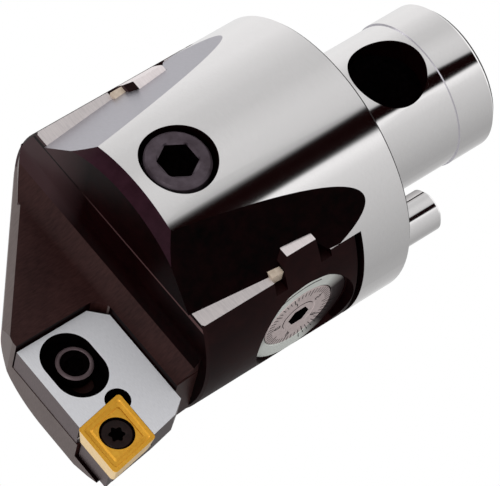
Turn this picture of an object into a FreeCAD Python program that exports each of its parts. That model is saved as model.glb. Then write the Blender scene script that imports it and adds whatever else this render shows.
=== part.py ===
# Micrometer boring bar head, 68 mm body, with a sliding tool nose and an insert cartridge.
# Millimetres. Origin: centre of the rear coupling face. +Z points to the cutting end,
# +X is the way the nose is fed outwards, +Y is the side of the lock screw and the rake face.

import FreeCAD, Part
import math
import os
import Sketcher

Vector = FreeCAD.Vector

doc = FreeCAD.newDocument("boring_bar_head")
sheet = doc.addObject("Spreadsheet::Sheet", "dims")

# Driving dimensions: name, value, meaning.
DIMENSIONS = (
    ("body_radius", 34.0, "ground outside of the head"),
    ("body_front", 58.0, "front face of the body above the rear coupling face"),
    ("body_front_chamfer", 2.7, "front edge of the body"),
    ("edge_break", 0.5, "small edge chamfers"),
    ("spigot_radius", 18.0, "rear coupling spigot"),
    ("spigot_length", 40.0, "rear coupling spigot"),
    ("spigot_chamfer", 1.6, "end of the spigot"),
    ("spigot_relief_depth", 0.3, "spigot ground down round its cross hole"),
    ("spigot_relief_margin", 0.9, "that relief beyond the cross hole"),
    ("neck_width", 1.2, "grinding groove in the rear face round the spigot"),
    ("neck_depth", 0.4, "grinding groove in the rear face round the spigot"),
    ("press_gap", 0.01, "radial gap of pieces that are pressed or screwed in"),
    ("running_gap", 0.05, "radial gap of pieces that turn or slide in each other"),
    ("flat_angle", 47.5, "direction of the two side flats, from the lock screw"),
    ("flat_front_inset", 3.4, "side flats inside the outside, at the front chamfer"),
    ("flat_slope", 0.0755, "rise of the side flats towards the rear, per mm"),
    ("guide_level", 17.5, "ground guide faces between body and slide, height in Y"),
    ("seat_wall", 13.5, "rear wall of the slide seat in the body"),
    ("slide_rear", 15.0, "rear face of the slide"),
    ("slide_front", 57.2, "front face of the slide"),
    ("key_rear", 25.0, "rear side of the guide key"),
    ("key_front", 34.6, "front side of the guide key"),
    ("key_height", 3.5, "guide key above the guide faces"),
    ("key_corner", 1.6, "chamfered front corner of the key and its keyway"),
    ("keyway_mouth", 2.6, "slanted rear mouth of the keyway along Z"),
    ("keyway_mouth_height", 2.2, "slanted rear mouth of the keyway along Y"),
    ("key_top_gap", 0.3, "roof of the keyway above the key"),
    ("guide_gap", 0.02, "sliding gap at the sides of the guide key"),
    ("relief_depth", 1.5, "grinding reliefs beside the key"),
    ("relief_rear_width", 3.0, "relief behind the key"),
    ("gib_width", 3.05, "gib strip along Z"),
    ("gib_height", 2.9, "gib strip along Y"),
    ("gib_roof_rise", 0.95, "gib seat in the body above the guide faces"),
    ("gib_end_inset", 0.26, "gib strip's ends inside the outside, along X"),
    ("gib_screw_offset", 14.0, "gib screws from the middle"),
    ("gib_screw_radius", 1.0, "gib screws"),
    ("gib_screw_head_radius", 1.25, "gib screws"),
    ("gib_screw_head_height", 1.1, "gib screws"),
    ("gib_screw_grip", 3.6, "gib screws, length in the body"),
    ("travel_out", 8.0, "slide travel outwards"),
    ("travel_in", 4.0, "slide travel inwards"),
    ("travel_spare", 0.4, "room beyond the travel in slots"),
    ("lock_place", 43.7, "lock screw along Z"),
    ("lock_recess_radius", 8.7, "recess for the lock screw's head"),
    ("lock_recess_depth", 10.0, "floor of that recess below the outside"),
    ("lock_head_radius", 7.45, "lock screw"),
    ("lock_head_height", 6.2, "lock screw"),
    ("lock_head_chamfer", 0.6, "lock screw"),
    ("lock_shank_radius", 5.0, "lock screw, M10"),
    ("lock_hole_gap", 0.35, "lock screw through the body and the slide"),
    ("lock_hexagon", 8.0, "lock screw socket across flats"),
    ("lock_hexagon_depth", 4.6, "lock screw socket"),
    ("lock_washer_height", 1.5, "washer under the lock screw"),
    ("nut_half_length", 9.0, "clamp nut along X"),
    ("nut_half_width", 7.6, "clamp nut along Z"),
    ("nut_top", 9.0, "top of the clamp nut, height in Y"),
    ("nut_height", 7.0, "clamp nut along Y"),
    ("nut_side_gap", 0.15, "clamp nut in its slot"),
    ("screw_axis_height", 0.0, "micrometer screw, height in Y"),
    ("screw_axis_place", 29.2, "micrometer screw along Z"),
    ("thread_radius", 3.0, "micrometer screw, M6"),
    ("thread_start", -18.0, "micrometer screw along X"),
    ("thread_end", 14.0, "micrometer screw along X"),
    ("thread_relief", 0.3, "plain neck beside the thread"),
    ("tail_radius", 2.2, "micrometer screw's tail journal"),
    ("tail_end", -25.5, "micrometer screw along X"),
    ("bush_radius", 3.4, "tail bush and the bore that holds it"),
    ("bush_length", 8.0, "tail bush"),
    ("bore_end", -26.0, "far end of the micrometer screw's bore"),
    ("shoulder_depth", 8.5, "thrust shoulder in the slide behind the dial's face"),
    ("collar_radius", 7.0, "micrometer screw's collar"),
    ("collar_width", 2.0, "micrometer screw's collar"),
    ("collar_bore_radius", 7.4, "bore round the collar"),
    ("washer_width", 1.25, "thrust washers"),
    ("axial_play", 0.05, "between the collar and its washers"),
    ("dial_inset", 2.5, "dial and vernier faces inside the outside"),
    ("dial_radius", 9.05, "graduated dial"),
    ("dial_thickness", 1.9, "graduated dial"),
    ("dial_hub_radius", 4.2, "end of the micrometer screw inside the dial"),
    ("dial_hexagon", 5.0, "micrometer screw socket across flats"),
    ("dial_hexagon_depth", 3.5, "micrometer screw socket"),
    ("ring_radius", 13.0, "vernier ring"),
    ("ring_bore_gap", 0.15, "between the dial and the vernier ring"),
    ("recess_gap", 0.45, "recess in the slide round the vernier ring"),
    ("seal_width", 1.6, "sealing ring between the screw and the vernier ring"),
    ("anchor_radius", 5.2, "anchor nut"),
    ("anchor_cover", 5.2, "anchor nut's top below the outside"),
    ("anchor_bottom", -9.0, "anchor nut, height in Y"),
    ("anchor_top_gap", 0.2, "above the anchor nut"),
    ("anchor_slot_gap", 0.3, "slide slot round the anchor nut"),
    ("anchor_slot_floor", -9.6, "floor of that slot, height in Y"),
    ("anchor_screw_drop", 4.8, "anchor set screw below the anchor nut's top"),
    ("anchor_screw_radius", 3.0, "anchor set screw, M6"),
    ("anchor_screw_start", 1.5, "anchor set screw below the rear face"),
    ("anchor_hexagon", 3.0, "anchor set screw socket across flats"),
    ("anchor_hexagon_depth", 3.5, "anchor set screw socket"),
    ("stop_inset", 10.0, "travel stop pin inside the outside"),
    ("stop_radius", 2.5, "travel stop pin"),
    ("stop_hole_floor", 4.0, "travel stop pin's hole along Z"),
    ("stop_reach", 3.5, "travel stop pin into the slide"),
    ("stop_slot_spare", 1.5, "stop slot beyond the pin's end"),
    ("stop_slot_gap", 0.3, "stop slot beside the pin"),
    ("drive_radius", 5.0, "drive pin's head"),
    ("drive_length", 13.0, "drive pin behind the rear face"),
    ("drive_shank_radius", 4.0, "drive pin's shank in the body"),
    ("drive_depth", 12.0, "drive pin in the body"),
    ("drive_collar_radius", 5.4, "drive pin's collar, sunk in the rear face"),
    ("drive_collar_depth", 1.0, "drive pin's collar, sunk in the rear face"),
    ("drive_chamfer", 0.8, "drive pin's free end"),
    ("coupling_place", -18.7, "coupling pin along Z"),
    ("coupling_hole_radius", 9.0, "cross hole in the spigot"),
    ("coupling_half_length", 10.5, "coupling pin along Y"),
    ("coupling_cone_radius", 6.6, "conical seats in the coupling pin's ends"),
    ("coupling_cone_depth", 5.7, "conical seats in the coupling pin's ends"),
    ("coupling_float", 1.2, "coupling pin's float each way"),
    ("coupling_notch_depth", 2.4, "notch for the retaining screw's point"),
    ("retainer_radius", 3.0, "coupling pin's retaining screw"),
    ("retainer_point_radius", 2.0, "coupling pin's retaining screw"),
    ("retainer_start", 1.5, "retaining screw below the spigot's end"),
    ("retainer_thread_length", 9.0, "coupling pin's retaining screw"),
    ("retainer_point_gap", 0.4, "retaining screw's point from the notch"),
    ("retainer_hexagon", 3.0, "retaining screw socket across flats"),
    ("nose_top", 2.0, "rake side of the nose, height in Y"),
    ("nose_bottom", -14.4, "back of the nose, height in Y"),
    ("nose_front", 86.0, "front end of the nose along Z"),
    ("nose_root_inset", 0.6, "nose's slanted side at the slide, inside the outside"),
    ("nose_front_left", 0.0, "nose's slanted side at the front, X"),
    ("nose_bevel_top", 1.6, "bevelled top edge of the slanted side, on the rake side"),
    ("nose_bevel_side", 3.0, "bevelled top edge of the slanted side, along Y"),
    ("nose_facet_width", 3.4, "facet at the nose's front left corner, along X"),
    ("nose_facet_length", 1.4, "facet at the nose's front left corner, along Z"),
    ("nose_right_inset", 3.0, "nose's outer side at the slide, inside the outside"),
    ("nose_bend_right", 31.5, "nose's outer side at its bend, X"),
    ("nose_bend_place", 64.0, "that bend along Z"),
    ("nose_front_right", 35.5, "nose's outer side at the front, X"),
    ("nose_blend", 6.5, "hollow between the slide's front and the nose"),
    ("nose_back_blend", 4.5, "hollow behind the nose"),
    ("nose_back_start", -12.0, "left end of the hollow behind the nose"),
    ("nose_back_end", 26.5, "right end of the hollow behind the nose"),
    ("nose_back_round", 11.0, "rounded back edge of the slanted side"),
    ("nose_clear_start", 28.0, "bore clearance on the nose's outer back edge, X"),
    ("nose_clear_bend", 32.6, "bend of that clearance, X"),
    ("nose_clear_rise", 1.6, "bend of that clearance above the nose's back"),
    ("nose_clear_end", 38.8, "end of that clearance, X"),
    ("pocket_floor", -6.5, "floor of the cartridge seat, height in Y"),
    ("pocket_left", 4.7, "cartridge seat's side wall, X"),
    ("pocket_back", 63.2, "cartridge seat's back wall along Z"),
    ("pocket_corner", 3.8, "rounded corner of the cartridge seat"),
    ("cartridge_side_gap", 0.4, "cartridge from the seat's side wall"),
    ("cartridge_back_gap", 0.3, "cartridge from the seat's back wall"),
    ("cartridge_shift", 2.5, "adjustment of the cartridge along X"),
    ("cartridge_corner", 3.6, "chamfered rear corner of the cartridge"),
    ("cartridge_width", 28.5, "cartridge's rear side along X"),
    ("cartridge_right_chamfer", 2.4, "cartridge's outer rear corner along X"),
    ("cartridge_right_rise", 3.5, "cartridge's outer rear corner along Z"),
    ("cartridge_side_lean", 1.3, "lean of the cartridge's outer side up to the insert"),
    ("cartridge_front_inset", 0.1, "cartridge's front face behind the nose's front"),
    ("insert_circle", 12.7, "inscribed circle of the insert"),
    ("insert_thickness", 4.76, "insert"),
    ("insert_lean", 10.0, "lean of the insert's outer side, degrees"),
    ("insert_clearance", 7.0, "clearance of the insert's flanks, degrees"),
    ("insert_corner", 0.8, "corner radius of the insert"),
    ("insert_tip_x", 40.2, "sharp corner of the insert, X"),
    ("insert_tip_z", 86.4, "sharp corner of the insert, Z"),
    ("insert_hole_radius", 2.75, "insert"),
    ("insert_sink_radius", 3.9, "insert"),
    ("insert_sink_depth", 2.2, "insert"),
    ("insert_sink_angle", -27.6, "lean of the insert's countersink, degrees"),
    ("insert_land", 0.9, "flat land round the insert's face"),
    ("insert_groove", 1.5, "chip groove inside the land"),
    ("insert_groove_depth", 0.3, "chip groove"),
    ("insert_gap", 0.03, "insert from its seat's walls"),
    ("seat_front_inset", 1.1, "insert seat's front behind the cutting edge"),
    ("seat_side_inset", 1.3, "insert seat's side inside the insert's side"),
    ("seat_relief_radius", 2.9, "relief at the insert's inner corner"),
    ("seat_relief_depth", 0.5, "that relief below the insert's seat"),
    ("boss_left", 28.2, "boss under the insert, X"),
    ("boss_bottom", -11.0, "boss under the insert, height in Y"),
    ("boss_length", 14.0, "boss under the insert along Z"),
    ("boss_gap", 0.25, "nose from the boss"),
    ("insert_screw_radius", 2.45, "insert screw, M5"),
    ("insert_screw_head_radius", 3.55, "insert screw"),
    ("insert_screw_sink", 0.35, "insert screw's head below the insert's face"),
    ("insert_screw_rim", 0.2, "straight rim of the insert screw's head"),
    ("insert_screw_length", 10.2, "insert screw's end below the rake face"),
    ("insert_screw_socket", 3.4, "insert screw's six-sided socket, across corners"),
    ("insert_screw_socket_depth", 1.9, "insert screw's socket"),
    ("cap_place_x", 13.4, "cartridge screw, X"),
    ("cap_place_z", 76.4, "cartridge screw, Z"),
    ("cap_head_radius", 4.2, "cartridge screw"),
    ("cap_head_height", 3.5, "cartridge screw"),
    ("cap_shank_radius", 2.5, "cartridge screw, M5"),
    ("cap_hexagon", 4.0, "cartridge screw socket across flats"),
    ("cap_hexagon_depth", 2.3, "cartridge screw socket"),
    ("cap_dish_radius", 3.4, "countersink of that socket"),
    ("cap_dish_depth", 0.9, "countersink of that socket"),
    ("cap_recess_floor", -5.0, "recess round the cartridge screw, height in Y"),
    ("cap_recess_radius", 6.1, "recess round the cartridge screw"),
    ("cap_recess_shift", 1.0, "recess's middle beside the screw along X"),
    ("cap_recess_lift", 1.1, "recess's middle beside the screw along Z"),
    ("cap_slot_radius", 2.8, "slot for the cartridge screw's shank"),
)


class Size:
    """A number that also carries the sheet formula it comes from."""

    def __init__(self, value, text):
        self.value = value
        self.text = text

    def __add__(self, other):
        other = as_size(other)
        return Size(self.value + other.value, "(%s + %s)" % (self.text, other.text))

    def __sub__(self, other):
        other = as_size(other)
        return Size(self.value - other.value, "(%s - %s)" % (self.text, other.text))

    def __mul__(self, other):
        other = as_size(other)
        return Size(self.value * other.value, "(%s * %s)" % (self.text, other.text))

    def __truediv__(self, other):
        other = as_size(other)
        return Size(self.value / other.value, "(%s / %s)" % (self.text, other.text))

    def __neg__(self):
        return Size(-self.value, "(0 - %s)" % self.text)


def as_size(number):
    if isinstance(number, Size):
        return number
    return Size(float(number), "(%r)" % float(number))


def cosine(angle):
    angle = as_size(angle)
    return Size(math.cos(math.radians(angle.value)), "cos(%s * 1 deg)" % angle.text)


def sine(angle):
    angle = as_size(angle)
    return Size(math.sin(math.radians(angle.value)), "sin(%s * 1 deg)" % angle.text)


def square_root(size):
    size = as_size(size)
    return Size(math.sqrt(size.value), "sqrt(%s)" % size.text)


class Sizes:
    """Every driving dimension by its name."""


D = Sizes()
for row, (alias, number, meaning) in enumerate(DIMENSIONS, start=1):
    sheet.set("A%d" % row, alias)
    sheet.set("B%d" % row, repr(number))
    sheet.set("C%d" % row, meaning)
    sheet.setAlias("B%d" % row, alias)
    setattr(D, alias, Size(number, "dims.%s" % alias))
doc.recompute()


def bind(thing, prop, size):
    thing.setExpression(prop, as_size(size).text)


# Sketches and features.

PLANES = {"XY": "XY_Plane", "XZ": "XZ_Plane", "YZ": "YZ_Plane"}


def new_body(label):
    body = doc.addObject("PartDesign::Body", label)
    body.Label = label
    return body


def add_polygon(sketch, corners):
    """Closed outline through the corners, each tied to the sheet by its two coordinates."""
    first = sketch.GeometryCount
    count = len(corners)
    points = [(as_size(u), as_size(v)) for u, v in corners]
    for index in range(count):
        here, there = points[index], points[(index + 1) % count]
        start = Vector(here[0].value, here[1].value, 0)
        end = Vector(there[0].value, there[1].value, 0)
        sketch.addGeometry(Part.LineSegment(start, end), False)
    for index in range(count):
        line = first + index
        following = first + (index + 1) % count
        sketch.addConstraint(Sketcher.Constraint("Coincident", line, 2, following, 1))
        fix_point(sketch, line, 1, points[index])


def add_circle(sketch, centre, radius):
    centre = [as_size(number) for number in centre]
    radius = as_size(radius)
    middle = Vector(centre[0].value, centre[1].value, 0)
    index = sketch.addGeometry(Part.Circle(middle, Vector(0, 0, 1), radius.value), False)
    fix_point(sketch, index, 3, centre)
    place = sketch.addConstraint(Sketcher.Constraint("Radius", index, radius.value))
    bind(sketch, "Constraints[%d]" % place, radius)


def fix_point(sketch, geometry, end, point):
    for kind, size in zip(("DistanceX", "DistanceY"), point):
        place = sketch.addConstraint(Sketcher.Constraint(kind, -1, 1, geometry, end, size.value))
        bind(sketch, "Constraints[%d]" % place, size)


def new_sketch(body, name, plane, level, outlines):
    """Sketch in a plane parallel to an origin plane; an outline is corners, or (centre, radius)."""
    sketch = body.newObject("Sketcher::SketchObject", name + "_sketch")
    for feature in body.Origin.OriginFeatures:
        if feature.Role == PLANES[plane]:
            sketch.AttachmentSupport = (feature, [""])
    sketch.MapMode = "FlatFace"
    level = as_size(level)
    bind(sketch, "AttachmentOffset.Base.z", -level if plane == "XZ" else level)
    for outline in outlines:
        if isinstance(outline, tuple):
            add_circle(sketch, *outline)
        else:
            add_polygon(sketch, outline)
    return sketch


def finish_feature(body, feature, name):
    body.Tip = feature
    doc.recompute()
    if "Invalid" in feature.State or "Error" in feature.State:
        raise RuntimeError("feature %s of %s failed" % (name, body.Label))
    return feature


def grow(body, name, plane, low, high, outlines, taper=None):
    """Prism between two levels. Sketches of the XZ plane face -Y, so they lie on the high level."""
    level = high if plane == "XZ" else low
    sketch = new_sketch(body, name, plane, level, outlines)
    pad = body.newObject("PartDesign::Pad", name)
    pad.Profile = sketch
    bind(pad, "Length", as_size(high) - low)
    if taper is not None:
        bind(pad, "TaperAngle", taper)
    return finish_feature(body, pad, name)


def cut(body, name, plane, low, high, outlines, taper=None):
    """Prism taken away between two levels."""
    level = low if plane == "XZ" else high
    if taper is not None:
        level = high
    sketch = new_sketch(body, name, plane, level, outlines)
    before = body.Shape.Volume
    pocket = body.newObject("PartDesign::Pocket", name)
    pocket.Profile = sketch
    bind(pocket, "Length", as_size(high) - low)
    if taper is not None:
        pocket.Reversed = True
        bind(pocket, "TaperAngle", taper)
    finish_feature(body, pocket, name)
    if body.Shape.Volume > before - 1e-6:
        raise RuntimeError("cut %s of %s takes nothing away" % (name, body.Label))
    return pocket


def turn(body, name, outline, take_away=False):
    """Turned shape about the local Z axis, from (radius, height) corners."""
    sketch = new_sketch(body, name, "XZ", 0, [outline])
    kind = "PartDesign::Groove" if take_away else "PartDesign::Revolution"
    feature = body.newObject(kind, name)
    feature.Profile = sketch
    feature.ReferenceAxis = (sketch, ["V_Axis"])
    feature.Angle = 360
    return finish_feature(body, feature, name)


def dress(body, kind, name, size, wanted, second_size=None):
    """Fillet or chamfer on every edge of the body that the rule picks."""
    base = body.Tip
    edges = ["Edge%d" % number for number, edge in enumerate(base.Shape.Edges, start=1) if wanted(edge)]
    if not edges:
        raise RuntimeError("%s of %s finds no edge" % (name, body.Label))
    feature = body.newObject("PartDesign::" + kind, name)
    feature.Base = (base, edges)
    bind(feature, "Radius" if kind == "Fillet" else "Size", size)
    if second_size is not None:
        feature.ChamferType = "Two distances"
        bind(feature, "Size2", second_size)
    return finish_feature(body, feature, name)


def rectangle(left, bottom, right, top):
    return [(left, bottom), (right, bottom), (right, top), (left, top)]


def hexagon(across_corners):
    """Six corners round the origin, the first on the sketch's horizontal axis."""
    reach = as_size(across_corners) / 2
    return [(reach * cosine(60 * step), reach * sine(60 * step)) for step in range(6)]


def across_flats(size):
    return as_size(size) / cosine(30)


# Local +Z turned to the row's +Y or +X.
TO_Y = FreeCAD.Rotation(Vector(1, 0, 0), -90)
TO_X = FreeCAD.Rotation(Vector(0, 1, 0), 90)
AS_IS = FreeCAD.Rotation()


def place(thing, rotation, x=0, y=0, z=0):
    thing.Placement = FreeCAD.Placement(Vector(), rotation)
    for axis, size in zip("xyz", (x, y, z)):
        bind(thing, "Placement.Base." + axis, size)


def middle_of(edge):
    return edge.valueAt((edge.FirstParameter + edge.LastParameter) / 2)


def is_straight(edge):
    return isinstance(edge.Curve, Part.Line)


def near(number, size, margin=0.02):
    return abs(number - as_size(size).value) < margin


# Places worked out from the driving dimensions.

beyond = D.body_radius + 2
key_top = D.guide_level + D.key_height
relief_level = D.guide_level - D.relief_depth
gib_front = D.key_front + D.gib_width + D.guide_gap * 2
gib_top = D.guide_level + D.gib_roof_rise
gib_half_length = square_root(D.body_radius * D.body_radius - gib_top * gib_top) - D.gib_end_inset
flat_front_distance = D.body_radius - D.flat_front_inset
lock_recess_floor = D.body_radius - D.lock_recess_depth
anchor_top = D.body_radius - D.anchor_cover
anchor_screw_height = anchor_top - D.anchor_screw_drop
stop_height = D.stop_inset - D.body_radius
drive_offset = (D.body_radius + D.spigot_radius) / 2
dial_face = D.body_radius - D.dial_inset
shoulder_place = dial_face - D.shoulder_depth
seal_bore_radius = D.dial_hub_radius + D.seal_width
nose_root_left = D.nose_root_inset - D.body_radius
nose_root_right = D.body_radius - D.nose_right_inset
lock_bore_radius = D.lock_shank_radius + D.lock_hole_gap
ring_back = shoulder_place + D.washer_width * 2 + D.axial_play * 2 + D.collar_width
cartridge_left = D.pocket_left + D.cartridge_side_gap
cartridge_back = D.pocket_back + D.cartridge_back_gap
cartridge_front = D.nose_front - D.cartridge_front_inset
insert_side = D.insert_circle / cosine(D.insert_lean)
insert_left = D.insert_tip_x - insert_side * (sine(D.insert_lean) + 1)
insert_rear = D.insert_tip_z - D.insert_circle
insert_middle_x = (D.insert_tip_x + insert_left) / 2
insert_middle_z = (D.insert_tip_z + insert_rear) / 2


# The body: turned and ground, with its spigot, slide seat, keyway and bores.

def make_body():
    turned = new_body("body_blank")
    relief_radius = D.spigot_radius - D.spigot_relief_depth
    relief_half = D.coupling_hole_radius + D.spigot_relief_margin
    relief_end = D.coupling_place - relief_half
    relief_start = D.coupling_place + relief_half
    turn(turned, "outside", [
        (0, -D.spigot_length),
        (D.spigot_radius - D.spigot_chamfer, -D.spigot_length),
        (D.spigot_radius, -D.spigot_length + D.spigot_chamfer),
        (D.spigot_radius, relief_end),
        (relief_radius, relief_end),
        (relief_radius, relief_start),
        (D.spigot_radius, relief_start),
        (D.spigot_radius, D.neck_depth),
        (D.spigot_radius + D.neck_width, D.neck_depth),
        (D.spigot_radius + D.neck_width, 0),
        (D.body_radius - D.edge_break, 0),
        (D.body_radius, D.edge_break),
        (D.body_radius, D.body_front - D.body_front_chamfer),
        (D.body_radius - D.body_front_chamfer, D.body_front),
        (0, D.body_front),
    ])
    keyway_rear = D.key_rear - D.guide_gap
    keyway_front = D.key_front + D.guide_gap
    keyway_roof = key_top + D.key_top_gap
    above = D.body_front + 1
    cut(turned, "slide_seat", "YZ", -beyond, beyond, [[
        (-beyond, D.seat_wall),
        (D.guide_level, D.seat_wall),
        (D.guide_level, keyway_rear - D.keyway_mouth),
        (D.guide_level + D.keyway_mouth_height, keyway_rear),
        (keyway_roof, keyway_rear),
        (keyway_roof, keyway_front - D.key_corner),
        (keyway_roof - D.key_corner, keyway_front),
        (gib_top, keyway_front),
        (gib_top, gib_front),
        (D.guide_level, gib_front),
        (D.guide_level, above),
        (-beyond, above),
    ]])
    lock_centre = (0, D.lock_place)
    cut(turned, "lock_recess", "XZ", lock_recess_floor, beyond, [(lock_centre, D.lock_recess_radius)])
    cut(turned, "lock_bore", "XZ", D.guide_level - 1, lock_recess_floor + 1, [(lock_centre, lock_bore_radius)])
    spigot_beyond = D.spigot_radius + 1
    cut(turned, "coupling_bore", "XZ", -spigot_beyond, spigot_beyond,
        [((0, D.coupling_place), D.coupling_hole_radius)])
    cut(turned, "anchor_bore", "XZ", D.guide_level - 1, anchor_top + D.anchor_top_gap,
        [((0, D.screw_axis_place), D.anchor_radius + D.press_gap)])
    cut(turned, "anchor_screw_bore", "XY", -1, D.screw_axis_place - D.anchor_radius / 2,
        [((0, anchor_screw_height), D.anchor_screw_radius + D.press_gap)])
    cut(turned, "drive_pin_bore", "XY", -1, D.drive_depth,
        [((drive_offset, 0), D.drive_shank_radius + D.press_gap)])
    cut(turned, "drive_pin_seat", "XY", -1, D.drive_collar_depth,
        [((drive_offset, 0), D.drive_collar_radius + D.press_gap)])
    cut(turned, "stop_pin_bore", "XY", D.stop_hole_floor, D.seat_wall + 1,
        [((0, stop_height), D.stop_radius + D.press_gap)])
    cut(turned, "retainer_bore", "XY", -D.spigot_length - 1, D.coupling_place,
        [((0, 0), D.retainer_radius + D.press_gap)])
    for number, side in enumerate((-1, 1), start=1):
        centre = (D.gib_screw_offset * side, (D.key_front + gib_front + D.guide_gap) / 2)
        cut(turned, "gib_screw_bore_%d" % number, "XZ", gib_top - 1, gib_top + D.gib_screw_grip + 0.5,
            [(centre, D.gib_screw_radius + D.press_gap)])

    cutters = []
    for name, side in (("flat_cutter_out", -1), ("flat_cutter_in", 1)):
        cutter = new_body(name)
        chamfer_start = D.body_front - D.body_front_chamfer
        near_distance = flat_front_distance - (D.body_front_chamfer + 1) * D.flat_slope
        far_place = chamfer_start - (beyond - flat_front_distance) / D.flat_slope
        grow(cutter, name + "_wedge", "XZ", -beyond, beyond, [[
            (near_distance, D.body_front + 1),
            (beyond, far_place),
            (beyond, D.body_front + 1),
        ]])
        cutter.Placement = FreeCAD.Placement(Vector(), FreeCAD.Rotation(Vector(0, 0, 1), 90))
        bind(cutter, "Placement.Rotation.Angle", as_size(90) + D.flat_angle * side)
        cutters.append(cutter)

    flats = doc.addObject("Part::MultiFuse", "flat_cutters")
    flats.Shapes = cutters
    body = doc.addObject("Part::Cut", "body")
    body.Base = turned
    body.Tool = flats
    body.Label = "body"
    return body


# The slide: the other half of the head, with its guide key, screw bores and the tool nose.

def nose_side(level):
    """X of the nose's slanted side at a height along Z."""
    slope = (D.nose_front_left - nose_root_left) / (D.nose_front - D.slide_front)
    return nose_root_left + (as_size(level) - D.slide_front) * slope


def make_nose():
    nose = new_body("nose_blank")
    root = D.slide_front - 1
    facet_start = D.nose_front - D.nose_facet_length
    grow(nose, "outline", "XZ", D.nose_bottom, D.nose_top, [[
        (nose_root_left, root),
        (nose_root_right, root),
        (D.nose_bend_right, D.nose_bend_place),
        (D.nose_front_right, D.nose_front),
        (D.nose_front_left + D.nose_facet_width, D.nose_front),
        (nose_side(facet_start), facet_start),
        (nose_root_left, D.slide_front),
    ]])

    def slanted_edge(level):
        def wanted(edge):
            steep = edge.BoundBox.ZLength > 10 and edge.BoundBox.XLength > 10
            return is_straight(edge) and steep and near(middle_of(edge).y, level)
        return wanted

    dress(nose, "Fillet", "back_rounded", D.nose_back_round, slanted_edge(D.nose_bottom))
    dress(nose, "Chamfer", "top_bevelled", D.nose_bevel_top, slanted_edge(D.nose_top), D.nose_bevel_side)
    cut(nose, "bore_clearance", "XY", root - 1, D.nose_front + 1, [[
        (D.nose_clear_start, D.nose_bottom),
        (D.nose_clear_bend, D.nose_bottom + D.nose_clear_rise),
        (D.nose_clear_end, D.nose_bottom + D.nose_clear_rise + (D.nose_clear_end - D.nose_clear_bend) / 2),
        (D.nose_clear_end, D.nose_bottom - 1),
        (D.nose_clear_start, D.nose_bottom - 1),
    ]])
    return nose


def make_hollow(name, left, right, level, radius, side):
    """Material with a hollow rounding between the slide's front face and a face of the nose."""
    root = D.slide_front - 1
    top = D.slide_front + radius
    outer = level + radius * side
    inner = level - as_size(side)
    hollow = new_body(name)
    low, high = (inner, outer) if side > 0 else (outer, inner)
    grow(hollow, name + "_bar", "YZ", left, right, [rectangle(low, root, high, top)])
    cut(hollow, name + "_round", "YZ", left - 1, right + 1, [((outer, top), radius)])
    if side > 0:
        cut(hollow, name + "_end", "XZ", low - 1, high + 1, [[
            (left, root),
            (left, D.slide_front),
            (nose_side(top + 1) + D.nose_bevel_top, top + 1),
            (left - 1, top + 1),
            (left - 1, root),
        ]])
    return hollow


def join(body, name, others):
    boolean = body.newObject("PartDesign::Boolean", name)
    boolean.Type = "Fuse"
    boolean.setObjects(others)
    return finish_feature(body, boolean, name)


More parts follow.
